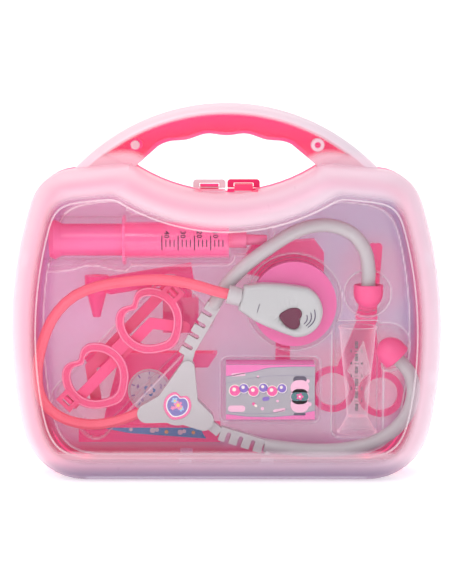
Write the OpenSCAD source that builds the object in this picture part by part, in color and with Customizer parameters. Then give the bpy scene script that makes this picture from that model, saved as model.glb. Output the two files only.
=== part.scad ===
// Toy doctor case: two half shells from one mould, a clear tray and the toys that it holds.
// X runs along the width, Y from the lid to the back and Z up. The origin is the middle of the base,
// on the plane where the two half shells part.

/* [Case] */
// Width of the case at its widest
case_w = 270; // [266:1:290]
// Height of the shoulders above the table
case_h = 196; // [194:1:204]
// Height of the lowest point of the top edge, under the handle
dip_h = 181; // [179:1:183]
// Radius of the hollow under the handle
dip_r = 105; // [98:1:115]
// Depth of each half shell
shell_depth = 33; // [32:1:40]
// Wall of the half shells
wall = 1.8; // [1.5:0.1:2.2]
// Radius of the rounded front and back edges
edge_r = 18; // [14:1:20]
// Radius of the bulging sides
side_r = 275; // [250:5:330]
// Height at which the case is widest
side_z = 92; // [86:1:98]
// Radius of the bottom corners
foot_r = 40; // [34:1:46]
// Radius of the shoulders
shoulder_r = 28; // [24:1:32]
// Gap between the two rims
rim_gap = 0.3; // [0.2:0.1:0.6]

/* [Handle] */
// Height of the handle above the hollow under it
handle_rise = 56; // [53:1:62]
// Radius of the arch of the handle
handle_r = 132; // [126:1:140]
// Depth of each half of the handle
handle_depth = 10; // [8:1:14]
// Half width of the finger gap at its corners
gap_half = 57; // [52:1:60]
// Height of the grip itself at the middle
grip_depth = 19.4; // [17:0.2:23]
// Depth of the finger scallops
scallop = 0.9; // [0:0.1:1.5]
// Distance between finger scallops
scallop_pitch = 25; // [20:1:30]
// Radius of the rounded outer edge of the handle
handle_edge = 7.5; // [5:0.5:8]
// Radius of the locating pegs in the handle
peg_r = 2.4; // [1.8:0.1:3]

/* [Hinge and latches] */
// Height of the hinge axis above the table
hinge_z = 3; // [2.9:0.1:3.4]
// Radius of the hinge pins
hinge_pin_r = 1.5; // [1.2:0.1:1.7]
// Outer radius of the hinge knuckles
knuckle_r = 2.8; // [2.5:0.1:2.9]
// Distance of each hinge from the middle
hinge_x = 60; // [40:1:75]
// Depth of the hinge channel in each half
channel_w = 8; // [7:0.5:9]
// Height of the hinge channel
channel_h = 7.5; // [7:0.5:9]
// Width of a latch tab
tab_w = 20.4; // [18:0.2:22]
// Height of a latch tab
tab_h = 5.3; // [5:0.1:6]
// Thickness of a latch tab
tab_t = 1.5; // [1.2:0.1:1.8]

/* [Tray] */
// Front face of the tray, in front of the parting plane
tray_face = 3.5; // [3:0.1:4]
// Thickness of the tray sheet
sheet = 0.8; // [0.6:0.1:1]
// Clearance between the tray and the shell wall
tray_gap = 1.2; // [1:0.1:1.6]
// Depth of the tray's skirt behind the parting plane
skirt = 12; // [10:1:14]

/* [Syringe] */
// Outer diameter of the barrel
barrel_d = 22.8; // [20:0.2:23]
// Wall of the barrel
barrel_wall = 0.95; // [0.8:0.05:1.4]
// Length of the barrel
barrel_l = 67; // [60:1:70]
// Running clearance of the piston in the barrel
piston_gap = 0.05; // [0.02:0.01:0.1]
// Travel of the plunger inwards
plunger_travel = 38; // [30:1:40]
// Length of the nozzle cap
nozzle_l = 24; // [18:1:25]

/* [Stethoscope] */
// Diameter of the white arms
arm_d = 8.8; // [8:0.2:9]
// Diameter of the sound tube
tube_d = 6.8; // [5.4:0.2:7]
// Thickness of the yoke
yoke_t = 10; // [8:0.5:10]
// Radius of an ear tip at its rim
tip_r = 9.3; // [8.6:0.1:9.6]
// Length of an ear tip's dome
tip_h = 12; // [11:0.2:13]
// Radius of the chest piece base
chest_r = 26.7; // [26:0.1:27.4]
// Depth of the chest piece base
chest_depth = 15; // [14:0.5:15]
// Depth of the white chest piece body
body_depth = 10.5; // [10:0.5:11]
// Travel of the heart button
button_travel = 1.2; // [0.8:0.1:1.2]

/* [Glasses] */
// Radius of a heart rim
lens_r = 21.2; // [20:0.1:21.6]
// Width of the rim itself
heart_rim = 5.5; // [4.5:0.1:6]
// Thickness of the frame
frame_t = 2.8; // [2.4:0.1:3]
// Thickness of a temple
temple_t = 1.8; // [1.5:0.1:1.8]
// Width of a temple
temple_w = 7; // [5:0.5:7]

/* [Carton and measuring cylinder] */
// Width of the carton
carton_w = 56.2; // [50:0.2:58]
// Height of the carton
carton_h = 35.3; // [30:0.1:37]
// Depth of the carton
carton_d = 20; // [16:0.5:20]
// Radius of the measuring cylinder at its rim
cup_top_r = 12.3; // [11.5:0.1:12.5]
// Radius of the measuring cylinder above its foot
cup_low_r = 6.6; // [6:0.1:7]
// Radius of its foot
cup_foot_r = 12.9; // [12:0.1:13]
// Wall of the measuring cylinder
cup_wall = 1.1; // [0.8:0.1:1.4]

/* [Toys behind the tray] */
// Radius of the otoscope handle
scope_r = 6; // [5:0.2:6.4]
// Outer radius of a scissor ring
ring_r = 15; // [13:0.5:16]
// Thickness of a scissor arm
scissor_t = 3.6; // [3:0.1:3.8]
// Radius of the scale's dial
dial_r = 14; // [12:0.5:15]

/* [Hidden] */
$fn = 48;

// Case outline
half_w = case_w / 2;
top_tilt = 84;                 // direction of the shoulder's upper end, in degrees
side_c = [half_w - side_r, side_z];
foot_c = [side_c[0] + sqrt(pow(side_r - foot_r, 2) - pow(side_z - foot_r, 2)), foot_r];
shoulder_c = [side_c[0] + sqrt(pow(side_r - shoulder_r, 2) - pow(case_h - shoulder_r - side_z, 2)),
  case_h - shoulder_r];
dip_c = [0, dip_h + dip_r];
foot_end = atan2(foot_c[1] - side_c[1], foot_c[0] - side_c[0]);
side_end = atan2(shoulder_c[1] - side_c[1], shoulder_c[0] - side_c[0]);
touch = 0.3;                   // seat clearance between loose pieces
snap = 0.05;                   // running clearance of pins
back_y = shell_depth - wall - touch;   // back of the toys that lie on the rear wall
face_y = -tray_face;
rim_y = -rim_gap / 2;

function on_circle(c, r, a) = c + r * [cos(a), sin(a)];
function arc(c, r, a0, a1, n) = [for (i = [0:n]) on_circle(c, r, a0 + (a1 - a0) * i / n)];
// Where the shoulder line, moved in by d, meets the hollow under the handle
function peak(d) = let (
    p = on_circle(shoulder_c, shoulder_r - d, top_tilt) - dip_c,
    t = [cos(top_tilt + 90), sin(top_tilt + 90)],
    b = p * t,
    s = -b - sqrt(b * b - p * p + pow(dip_r + d, 2)))
  dip_c + p + s * t;
// Right half of the outline, moved in by d, from the base round to the middle of the top
function half_outline(d) = let (
    top = peak(d),
    a = atan2(top[1] - dip_c[1], top[0]))
  concat(
    arc(foot_c, foot_r - d, -90, foot_end, 8),
    arc(side_c, side_r - d, foot_end + 2, side_end - 2, 7),
    arc(shoulder_c, shoulder_r - d, side_end, top_tilt, 7),
    arc(dip_c, dip_r + d, a, -90, 9));
function mirrored(pts) = [for (i = [len(pts) - 2:-1:0]) [-pts[i][0], pts[i][1]]];
function outline(d) = let (h = half_outline(d)) concat(h, mirrored(h));

// A flat shape drawn in X and Z, as thick as from y0 to y1
module plate(y0, y1) {
  translate([0, y1, 0]) rotate([90, 0, 0]) linear_extrude(y1 - y0) children();
}
// Cylinders along X and along Y
module rod_x(x0, x1, y, z, r, r2 = -1) {
  translate([x0, y, z]) rotate([0, 90, 0]) cylinder(h = x1 - x0, r1 = r, r2 = r2 < 0 ? r : r2);
}
module rod_y(y0, y1, x, z, r) {
  translate([x, y1, z]) rotate([90, 0, 0]) cylinder(h = y1 - y0, r = r);
}
// A block between two corners
module block(low, high) {
  translate(low) cube(high - low);
}
// A tube of radius r along a route, as one closed solid
function unit(v) = v / norm(v);
function heading(pts, i) = unit(pts[min(i + 1, len(pts) - 1)] - pts[max(i - 1, 0)]);
module swept_tube(pts, r, sides = 10) {
  points = [for (i = [0:len(pts) - 1])
    let (t = heading(pts, i), u = unit(cross([0, 1, 0], t)), v = cross(t, u))
    for (k = [0:sides - 1]) pts[i] + r * (cos(360 * k / sides) * u + sin(360 * k / sides) * v)];
  last = (len(pts) - 1) * sides;
  faces = concat(
    [[for (k = [0:sides - 1]) k]],
    [[for (k = [sides - 1:-1:0]) last + k]],
    [for (i = [0:len(pts) - 2], k = [0:sides - 1]) let (n = (k + 1) % sides)
      [i * sides + k, (i + 1) * sides + k, (i + 1) * sides + n, i * sides + n]]);
  polyhedron(points, faces, convexity = 6);
}
// Extra points between those of a route, on a smooth curve through them
function smooth(pts, n = 3) = concat(
  [for (i = [0:len(pts) - 2], k = [0:n - 1])
    let (a = pts[max(i - 1, 0)], b = pts[i], c = pts[i + 1], d = pts[min(i + 2, len(pts) - 1)], t = k / n)
    0.5 * (2 * b + (c - a) * t + (2 * a - 5 * b + 4 * c - d) * t * t + (3 * b - a - 3 * c + d) * t * t * t)],
  [pts[len(pts) - 1]]);

// A round heart: a circle drawn in at the top and out at the bottom
notch_depth = 6.5;
module round_heart(r) {
  polygon([for (i = [0:71]) let (
      a = 5 * i,
      top = min(abs(a - 90), 450 - a),
      low = abs(a - 270),
      k = r / lens_r)
    (r - k * notch_depth * exp(-pow(top / 19, 2)) + 2 * k * exp(-pow(low / 20, 2))) * [cos(a), sin(a)]]);
}

// ---- Half shell: the lid as seen from the front; the rear half is the same, turned round ----
edge_steps = 5;
function skin_profile(d) = concat(
  [[rim_y, d]],
  [for (i = [0:edge_steps]) let (a = 90 * i / edge_steps)
    [-(shell_depth - edge_r) - (edge_r - d) * sin(a), edge_r - (edge_r - d) * cos(a)]]);
module shell_skin() {
  outer = skin_profile(0);
  inner = skin_profile(wall);
  profile = concat(outer, [for (i = [len(inner) - 1:-1:0]) inner[i]]);
  n = len(outline(0));
  points = [for (s = profile) for (p = outline(s[1])) [p[0], s[0], p[1]]];
  cap = len(outer) - 1;
  rings = len(profile);
  faces = concat(
    [[for (k = [n - 1:-1:0]) cap * n + k]],
    [[for (k = [0:n - 1]) (cap + 1) * n + k]],
    [for (i = [0:rings - 1]) if (i != cap) for (k = [0:n - 1])
      let (j = (i + 1) % rings, m = (k + 1) % n)
      [i * n + k, j * n + k, j * n + m, i * n + m]]);
  polyhedron(points, faces, convexity = 6);
}

channel_half = foot_c[0] + foot_r * 0.42;
module channel_space() {
  block([-channel_half, -channel_w, -1], [channel_half, 1, channel_h]);
}
module channel_wall() {
  difference() {
    intersection() {
      block([-channel_half - wall, -channel_w - wall, 0], [channel_half + wall, rim_y, channel_h + wall]);
      plate(-shell_depth, 0) polygon(outline(0));
    }
    channel_space();
  }
}

// Hinge: a clip at one side and a pin between two lugs at the other
knuckle_l = 10;
lug_l = 4.6;
clip_slot = 2;
hinge_side_gap = 0.4;
module lug(x0, x1) {
  rod_x(x0, x1, 0, hinge_z, knuckle_r);
  block([x0, -knuckle_r, hinge_z], [x1, -0.8, channel_h + 0.2]);
}
module hinge_clip() {
  difference() {
    lug(hinge_x - knuckle_l / 2, hinge_x + knuckle_l / 2);
    rod_x(hinge_x - knuckle_l, hinge_x + knuckle_l, 0, hinge_z, hinge_pin_r + snap);
    block([hinge_x - knuckle_l, -clip_slot / 2, -1], [hinge_x + knuckle_l, clip_slot / 2, hinge_z]);
  }
}
module hinge_pin() {
  inner = knuckle_l / 2 + hinge_side_gap;
  for (side = [-1, 1])
    lug(-hinge_x + (side < 0 ? -inner - lug_l : inner), -hinge_x + (side < 0 ? -inner : inner + lug_l));
  rod_x(-hinge_x - inner - 1, -hinge_x + inner + 1, 0, hinge_z, hinge_pin_r);
}

// Handle half: a web with a rim round it, stiffened at both roots
handle_h = dip_h + handle_rise;
grip_h = handle_h - grip_depth;
handle_c = [0, handle_h - handle_r];
handle_root = 95;
handle_rim = 1.8;
grip_end = 43;
grip_curve = 0.0042;
function grip_edge(x) = grip_h - grip_curve * x * x - scallop * cos(360 * x / scallop_pitch);
gap_corner_z = dip_c[1] - sqrt(pow(dip_r, 2) - pow(gap_half, 2));
module finger_gap(d) {
  polygon(concat(
    [[-gap_half - d, gap_corner_z], [-gap_half - d, dip_h - 5], [gap_half + d, dip_h - 5], [gap_half + d, gap_corner_z]],
    [for (x = [grip_end:-3:-grip_end]) [x * (1 + d / grip_end), grip_edge(x) + d]]));
}
module handle_region(gap_in) {
  difference() {
    translate([-handle_root, dip_h]) square([2 * handle_root, handle_h]);
    finger_gap(gap_in);
    polygon(outline(wall / 2));
  }
}
// Section of the outer rim, as radius and depth
function rim_arc(r, d) = [for (i = [0:6]) on_circle([r - handle_edge, handle_depth - handle_edge], handle_edge - d, 15 * i)];
module handle_rim_ring() {
  outer = rim_arc(handle_r, 0);
  inner = rim_arc(handle_r, handle_rim);
  translate([0, 0, handle_c[1]]) rotate([90, 0, 0]) rotate_extrude($fn = 120)
    polygon(concat([[handle_r, -rim_y]], outer, [for (i = [6:-1:0]) inner[i]], [[handle_r - handle_rim, -rim_y]]));
}
peg_x = 57;
peg_z = handle_h - 26;
peg_reach = 6;
socket_wall = 1.7;
root_rib_low = [-58.5, 196.4];
root_rib_high = [-78, 206];
module root_rib() {
  run = root_rib_high - root_rib_low;
  plate(-handle_depth + 0.5, rim_y) intersection() {
    translate(root_rib_low) rotate(atan2(run[1], run[0])) translate([0, -0.8]) square([norm(run), 1.6]);
    handle_region(0);
  }
}
module handle_half() {
  difference() {
    union() {
      plate(-handle_depth, -handle_depth + handle_rim) intersection() {
        handle_region(0);
        translate(handle_c) circle(handle_r - handle_edge + 0.2, $fn = 120);
      }
      intersection() {
        handle_rim_ring();
        plate(-handle_depth - 1, 0) handle_region(0);
      }
      plate(-handle_depth, rim_y) intersection() {
        difference() {
          handle_region(0);
          handle_region(handle_rim);
        }
        translate(handle_c) circle(handle_r - handle_edge, $fn = 120);
      }
      root_rib();
      mirror([1, 0, 0]) root_rib();
      rod_y(-handle_depth + 0.5, rim_y, peg_x, peg_z, peg_r + 0.1 + socket_wall);
    }
    rod_y(-handle_depth + handle_rim, 1, peg_x, peg_z, peg_r + 0.1);
  }
  rod_y(-handle_depth + 0.5, peg_reach, -peg_x, peg_z, peg_r);
}

// Latch: a land for the slotted tab at one side and a barbed hook at the other
tab_x = 0.6;                   // inner edge of a tab
tab_face = 0.5;                // back face of a tab, in front of the parting plane
land_top = dip_h + 2.2;
tab_low = land_top + 0.6;      // the tab turns about a line just below this
slot_low = tab_low + 0.7;
slot_h = 2.4;
slot_w = 12.6;
hook_w = slot_w - 1;
hook_t = 1.2;
hook_reach = 2.6;
barb = 0.4;
barb_l = 0.5;
hook_x = tab_x + tab_w / 2;    // middle of a tab and of the hook in it
module tab_land() {
  block([-tab_x - tab_w, -tab_face - tab_t - 1, dip_h - wall / 2], [-tab_x, rim_y, land_top]);
}
module hook() {
  top = slot_low + hook_t + barb;
  block([hook_x - hook_w / 2, -4, dip_h - wall / 2], [hook_x + hook_w / 2, -0.4, top]);
  block([hook_x - hook_w / 2, -0.5, top - hook_t], [hook_x + hook_w / 2, hook_reach, top]);
  block([hook_x - hook_w / 2, hook_reach - barb_l, top - hook_t], [hook_x + hook_w / 2, hook_reach, top + barb]);
}

// Ribs on the walls that carry the tray's skirt
rest_in = 6.5;
rest_low = 13;
rest_depth = 6;
module tray_rests() {
  plate(-skirt - touch - rest_depth, -skirt - touch) {
    intersection() {
      difference() {
        polygon(outline(wall / 2));
        polygon(outline(rest_in));
      }
      for (z = [65, 140]) translate([-half_w, z - 4]) square([case_w, 8]);
    }
    for (x = [-30, 22]) translate([x, wall / 2]) square([8, rest_low - wall / 2]);
  }
}

module half_shell() {
  difference() {
    shell_skin();
    channel_space();
  }
  channel_wall();
  hinge_clip();
  hinge_pin();
  handle_half();
  tab_land();
  hook();
  tray_rests();
}
module front_shell() {
  color("lavenderblush") half_shell();
}
module rear_shell() {
  color("hotpink") rotate([0, 0, 180]) half_shell();
}

module latch_tab() {
  plate(-tab_face - tab_t, -tab_face) difference() {
    union() {
      translate([-tab_x - tab_w, tab_low]) square([tab_w, tab_h - 2]);
      translate([-tab_x - tab_w + 2, tab_low]) square([tab_w - 4, tab_h]);
      for (x = [-tab_x - tab_w + 2, -tab_x - 2]) translate([x, tab_low + tab_h - 2]) circle(2);
    }
    translate([-hook_x - slot_w / 2, slot_low]) square([slot_w, slot_h]);
  }
}
module front_latch_tab() {
  color("mistyrose") latch_tab();
}
module rear_latch_tab() {
  color("deeppink") rotate([0, 0, 180]) latch_tab();
}

// ---- Syringe, lying along X ----
syringe_y = -1;
syringe_z = 151;
barrel_x0 = -65.4;
barrel_r = barrel_d / 2;
bore_r = barrel_r - barrel_wall;
barrel_x1 = barrel_x0 + barrel_l;
flange_r = 15.6;
flange_t = 1.8;
barrel_end = 1.4;
piston_end = barrel_x1 - barrel_end - plunger_travel - 1.2;
piston_l = 4;
plunger_r = bore_r - 0.3;
plunger_wall = 1.6;
thumb_t = 3;
thumb_r = 12.6;
thumb_x = piston_end - 72.5;
module syringe_barrel() {
  color("lightcyan", 0.5) difference() {
    union() {
      rod_x(barrel_x0, barrel_x1, syringe_y, syringe_z, barrel_r);
      intersection() {
        rod_x(barrel_x0, barrel_x0 + flange_t, syringe_y, syringe_z, flange_r);
        block([barrel_x0 - 1, syringe_y - barrel_r - 0.8, 0], [barrel_x0 + flange_t + 1, syringe_y + barrel_r + 0.8, case_h]);
      }
    }
    rod_x(barrel_x0 - 1, barrel_x1 - barrel_end, syringe_y, syringe_z, bore_r);
    rod_x(barrel_x1 - 3, barrel_x1 + 1, syringe_y, syringe_z, nozzle_r + snap);
  }
}
module syringe_plunger() {
  color("hotpink") difference() {
    union() {
      rod_x(thumb_x + thumb_t, piston_end, syringe_y, syringe_z, plunger_r);
      rod_x(piston_end - piston_l, piston_end, syringe_y, syringe_z, bore_r - piston_gap);
      rod_x(thumb_x + thumb_t, thumb_x + thumb_t + 5, syringe_y, syringe_z, thumb_r, plunger_r);
      rod_x(thumb_x, thumb_x + thumb_t, syringe_y, syringe_z, thumb_r - 1.5, thumb_r);
    }
    rod_x(thumb_x - 1, piston_end - 2, syringe_y, syringe_z, plunger_r - plunger_wall);
  }
}
collar_r = 5.25;
collar_l = 11;
nozzle_r = 3.5;
module syringe_nozzle() {
  color("hotpink") difference() {
    union() {
      rod_x(barrel_x1 - barrel_end, barrel_x1 + 1, syringe_y, syringe_z, nozzle_r);
      rod_x(barrel_x1, barrel_x1 + collar_l, syringe_y, syringe_z, collar_r);
      rod_x(barrel_x1 + collar_l, barrel_x1 + nozzle_l, syringe_y, syringe_z, nozzle_r, nozzle_r - 0.6);
    }
    rod_x(barrel_x1 - barrel_end - 1, barrel_x1 + nozzle_l + 1, syringe_y, syringe_z, 1.2);
  }
}

// ---- Stethoscope ----
arm_r = arm_d / 2;
arm_y = face_y - touch - yoke_t / 2;
yoke_c = [-31, 47];
yoke_neck = [-24.6, 71];
yoke_left = [-50.5, 41.5];
yoke_right = [-14.5, 37];
tube_r = tube_d / 2;
// Route of the sound tube, from the yoke round the left side to the chest piece
TUBE_ROUTE = [[-50, -9, 41.5], [-57, -9, 40.5], [-65, -9.5, 37.5], [-76, -10, 34.8], [-88, -10, 34], [-101, -11, 37],
  [-112, -12, 44], [-118.5, -12, 55], [-119.5, -12, 68], [-117.5, -12, 81], [-113, -12.5, 95], [-106, -13, 107],
  [-95, -13.5, 117], [-80, -14, 123], [-62, -14.5, 126], [-42, -15.8, 127.3], [-24, -18, 125.2],
  [-8.4, -19.6, 120.9], [-2.6, -19.6, 119.4], [7.1, -19.6, 117]];
// Centre lines of the two arms, in X and Z
UPPER_ROUTE = [[-9, 108.6], [-3.5, 118], [3, 126.5], [14, 137], [29, 148], [41, 155.5], [53, 160], [66, 160.5],
  [79, 155.5], [87, 145], [89.4, 134], [89.4, 126], [89.4, 117]];
LOWER_ROUTE = [[24, 20.5], [34, 19], [48, 17.4], [64, 17], [78, 18.2], [91, 21.4], [101, 26.2], [109, 32.6],
  [115, 41], [118, 50], [118.4, 58.5], [116.2, 66.5], [112.8, 71.3], [109.8, 74.5], [103.8, 80.9]];
function on_plane(route, y) = [for (p = route) [p[0], y, p[1]]];
bore_dir = unit([TUBE_ROUTE[0][0] - TUBE_ROUTE[1][0], TUBE_ROUTE[0][2] - TUBE_ROUTE[1][2]]);

module yoke_shape() {
  hull() {
    translate(yoke_c) circle(13);
    translate(yoke_neck) circle(4.4);
  }
  hull() {
    translate(yoke_c) circle(11);
    translate(yoke_left) circle(6);
  }
  hull() {
    translate(yoke_c) circle(11);
    translate(yoke_right) circle(6.4);
  }
}
module tube_bore(r) {
  a = TUBE_ROUTE[0];
  translate(a) rotate([0, -atan2(bore_dir[1], bore_dir[0]), 0]) translate([-20, 0, 0])
    rotate([0, 90, 0]) cylinder(h = 20.3, r = r);
}
module stethoscope_yoke() {
  color("white") difference() {
    plate(arm_y - yoke_t / 2, arm_y + yoke_t / 2) yoke_shape();
    tube_bore(tube_r + 0.12);
    comb_space();
    sticker_space();
  }
}
// Flat comb that ends each arm at the yoke
comb_w = 9;
comb_t = 6;
comb_slots = 4;
comb_pitch = 8.1;
comb_slot_w = 2.8;
comb_slot_d = 5.4;
stub_w = 6;
stub_l = 17;
module comb_bar(l, first) {
  difference() {
    translate([0, -comb_w / 2]) square([l, comb_w]);
    for (i = [0:comb_slots - 1]) translate([first + i * comb_pitch, comb_w / 2 - comb_slot_d]) {
      circle(comb_slot_w / 2);
      translate([-comb_slot_w / 2, 0]) square([comb_slot_w, comb_slot_d + 1]);
    }
  }
}
module place(at, a) {
  translate(at) rotate(a) children();
}
// Where each arm's stub and comb start, and their directions
upper_stub = [[-27.3, 64.5], 75];
upper_comb = [[-26.3, 78.7], 60];
upper_comb_l = 37;
lower_stub = [[-19.2, 40.9], -39];
lower_comb = [[-4.2, 28.5], -17.5];
lower_comb_l = 34;
module comb_space() {
  plate(arm_y - comb_t / 2 - snap, arm_y + comb_t / 2 + snap)
    for (stub = [upper_stub, lower_stub]) place(stub[0], stub[1])
      translate([-snap, -stub_w / 2 - snap]) square([stub_l, stub_w + 2 * snap]);
}
module upper_arm() {
  color("white") {
    plate(arm_y - comb_t / 2, arm_y + comb_t / 2) {
      place(upper_stub[0], upper_stub[1]) translate([0, -stub_w / 2]) square([stub_l, stub_w]);
      place(upper_comb[0], upper_comb[1]) comb_bar(upper_comb_l, 5.8);
    }
    swept_tube(on_plane(smooth(UPPER_ROUTE), arm_y), arm_r, 16);
  }
}
module lower_arm() {
  color("white") {
    plate(arm_y - comb_t / 2, arm_y + comb_t / 2) {
      place(lower_stub[0], lower_stub[1]) translate([0, -stub_w / 2]) square([stub_l + 2, stub_w]);
      place(lower_comb[0], lower_comb[1]) mirror([0, 1]) comb_bar(lower_comb_l, 5.6);
    }
    swept_tube(on_plane(smooth(LOWER_ROUTE), arm_y), arm_r, 16);
  }
}
sticker_t = 0.3;
sticker_r = 8.8;
module sticker_outline(grow) {
  translate(yoke_c) rotate(-20) round_heart(sticker_r + grow);
}
module sticker_space() {
  plate(arm_y - yoke_t / 2 - 1, arm_y - yoke_t / 2 + sticker_t) sticker_outline(0.2);
}
module yoke_sticker() {
  color("plum") plate(arm_y - yoke_t / 2 - 0.1, arm_y - yoke_t / 2 + sticker_t - 0.02) sticker_outline(0);
}
// Ear tip: a dome with a collar round the arm's end, drawn with its rim at z = 0
tip_collar_r = 6.9;
tip_collar_l = 3.6;
tip_over = 3.2;                // length of the arm below the rim
tip_bore = arm_r + snap;
module ear_tip() {
  rotate_extrude() difference() {
    union() {
      square([tip_collar_r, tip_collar_l]);
      translate([0, -2]) square([tip_r, 2]);
      intersection() {
        translate([0, -2]) scale([tip_r, tip_h - 2]) circle(1, $fn = 64);
        translate([0, -tip_h]) square([tip_r, tip_h - 1.5]);
      }
    }
    translate([-1, -tip_over - 0.2]) square([tip_bore + 1, tip_h]);
  }
}
upper_end = UPPER_ROUTE[len(UPPER_ROUTE) - 1];
lower_end = LOWER_ROUTE[len(LOWER_ROUTE) - 1];
lower_dir = lower_end - LOWER_ROUTE[len(LOWER_ROUTE) - 2];
module upper_ear_tip() {
  color("hotpink") translate([upper_end[0], arm_y, upper_end[1] + tip_over]) ear_tip();
}
module lower_ear_tip() {
  color("hotpink") translate([lower_end[0], arm_y, lower_end[1]])
    rotate([0, 90 - atan2(lower_dir[1], lower_dir[0]) + 180, 0]) translate([0, 0, tip_over]) ear_tip();
}
module sound_tube() {
  color("salmon") swept_tube(smooth(TUBE_ROUTE, 2), tube_r, 10);
}

// Chest piece: pink base with the white body across its front
chest_c = [42.5, 111.5];
body_c = [44, 107.8];
body_a = -14;
chest_back_y = face_y + 4.5;
chest_front_y = chest_back_y - chest_depth;
body_front_y = chest_front_y - body_depth;
chest_wall = 1.8;
body_r = 16.2;
body_wide = 12;
neck_half = 7.8;
neck_at = -36;
wide_at = -25;
collar_y = TUBE_ROUTE[len(TUBE_ROUTE) - 1][1];
module on_body() {
  translate(body_c) rotate(body_a) children();
}
module body_outline(d) {
  hull() {
    circle(body_r - d);
    translate([wide_at, -body_wide + d]) square([2, 2 * (body_wide - d)]);
  }
  hull() {
    translate([wide_at, -body_wide + d]) square([2, 2 * (body_wide - d)]);
    translate([neck_at + d, -neck_half + d]) square([1, 2 * (neck_half - d)]);
  }
}
heart_at = [-2.7, -4.4];
cap_r = 7.6;
module heart_place() {
  on_body() translate(heart_at) rotate(-87) children();
}
module chest_body() {
  color("whitesmoke") difference() {
    plate(body_front_y, chest_front_y) on_body() body_outline(0);
    plate(body_front_y + chest_wall, chest_front_y + 1) on_body() body_outline(chest_wall);
    plate(body_front_y - 1, chest_front_y) heart_place() round_heart(cap_r + 0.25);
    neck_bore(collar_in_r + snap);
  }
}
collar_in_r = 4.4;
collar_out_r = 5.8;
collar_out_l = 8.5;
collar_in_l = 4;
module neck_frame() {
  translate([body_c[0], collar_y, body_c[1]]) rotate([0, -body_a, 0]) translate([neck_at, 0, 0]) rotate([0, 90, 0])
    children();
}
module neck_bore(r) {
  neck_frame() translate([0, 0, -1]) cylinder(h = collar_in_l + 1, r = r);
}
module tube_collar() {
  color("white") difference() {
    neck_frame() {
      translate([0, 0, -collar_out_l]) cylinder(h = collar_out_l, r = collar_out_r);
      cylinder(h = collar_in_l - 0.5, r = collar_in_r);
    }
    neck_frame() translate([0, 0, -collar_out_l - 1]) cylinder(h = collar_out_l + 8, r = tube_r + 0.35);
  }
}
base_open_r = chest_r - chest_wall;
module chest_base() {
  color("orchid") difference() {
    rod_y(chest_front_y, chest_back_y, chest_c[0], chest_c[1], chest_r);
    rod_y(chest_front_y + chest_wall, chest_back_y + 1, chest_c[0], chest_c[1], base_open_r);
    for (x = [-1, 1]) rod_y(chest_front_y - 1, chest_front_y + 3, chest_c[0] + 5 * x - 12, chest_c[1], 1);
  }
  color("orchid") for (a = [45, 135, 225, 315])
    rod_y(chest_front_y + 1, chest_back_y - chest_wall - touch, chest_c[0] + 22 * cos(a), chest_c[1] + 22 * sin(a), 2.2);
}
door_w = 28;
door_h = 12;
module chest_back() {
  color("orchid") difference() {
    rod_y(chest_back_y - chest_wall, chest_back_y, chest_c[0], chest_c[1], base_open_r - snap);
    block([chest_c[0] - door_w / 2, chest_back_y - 3, chest_c[1] - door_h / 2],
      [chest_c[0] + door_w / 2, chest_back_y + 1, chest_c[1] + door_h / 2]);
  }
}
screw_x = chest_c[0] + door_w / 2 - 3;
module battery_door() {
  color("orchid") difference() {
    block([chest_c[0] - door_w / 2 + 0.2, chest_back_y - chest_wall, chest_c[1] - door_h / 2 + 0.2],
      [chest_c[0] + door_w / 2 - 0.2, chest_back_y, chest_c[1] + door_h / 2 - 0.2]);
    rod_y(chest_back_y - 3, chest_back_y + 1, screw_x, chest_c[1], 1 + snap);
    rod_y(chest_back_y - 0.8, chest_back_y + 1, screw_x, chest_c[1], 2);
  }
}
module battery_screw() {
  color("silver") {
    rod_y(chest_back_y - 6, chest_back_y - 0.8, screw_x, chest_c[1], 1);
    difference() {
      rod_y(chest_back_y - 0.8, chest_back_y - 0.1, screw_x, chest_c[1], 1.9);
      block([screw_x - 1.2, chest_back_y - 0.5, chest_c[1] - 0.2], [screw_x + 1.2, chest_back_y + 1, chest_c[1] + 0.2]);
      block([screw_x - 0.2, chest_back_y - 0.5, chest_c[1] - 1.2], [screw_x + 0.2, chest_back_y + 1, chest_c[1] + 1.2]);
    }
  }
}
cell_r = 3.9;
cell_h = 3.6;
cell_y = chest_back_y - chest_wall - touch - cell_h;
module button_cells() {
  color("silver") for (i = [0:2]) rod_y(cell_y, cell_y + cell_h, chest_c[0] - 9.6 + 8 * i - 0.6, chest_c[1], cell_r);
}
module battery_contacts() {
  color("gold") for (z = [-2.6, 1.4])
    block([chest_c[0] - 13, cell_y - 0.8, chest_c[1] + z], [chest_c[0] + 9, cell_y - 0.4, chest_c[1] + z + 1.2]);
}
board_y = chest_front_y - 0.4;
board_t = 1.2;
module circuit_board() {
  color("green") plate(board_y - board_t, board_y) on_body() translate([-15, -8]) square([24, 16]);
}
dome_r = 2.8;
dome_h = 1.6;
dome_y = board_y - board_t;
module heart_point() {
  on_body() translate(heart_at) children();
}
module dome_switch() {
  color("dimgray") plate(dome_y - dome_h, dome_y) heart_point() circle(dome_r);
}
module heart_light() {
  color("red") plate(dome_y - 3, dome_y) on_body() translate(heart_at + [-6.5, 5.5]) circle(1.5);
}
cap_proud = 0.8;
cap_flange_y = body_front_y + chest_wall + 0.3;
module heart_button() {
  color("maroon") {
    plate(body_front_y - cap_proud, cap_flange_y + 0.2) heart_place() round_heart(cap_r);
    plate(cap_flange_y, cap_flange_y + 1) heart_place() round_heart(cap_r + 1.3);
    plate(cap_flange_y, dome_y - dome_h - button_travel - 0.1) heart_point() circle(1.6);
  }
}
sounder_y = chest_front_y + chest_wall;
sounder_r = 9;
module sounder() {
  color("dimgray") rod_y(sounder_y + 0.1, sounder_y + 3.6, chest_c[0] + 8, chest_c[1] + 4, sounder_r);
}
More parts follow.
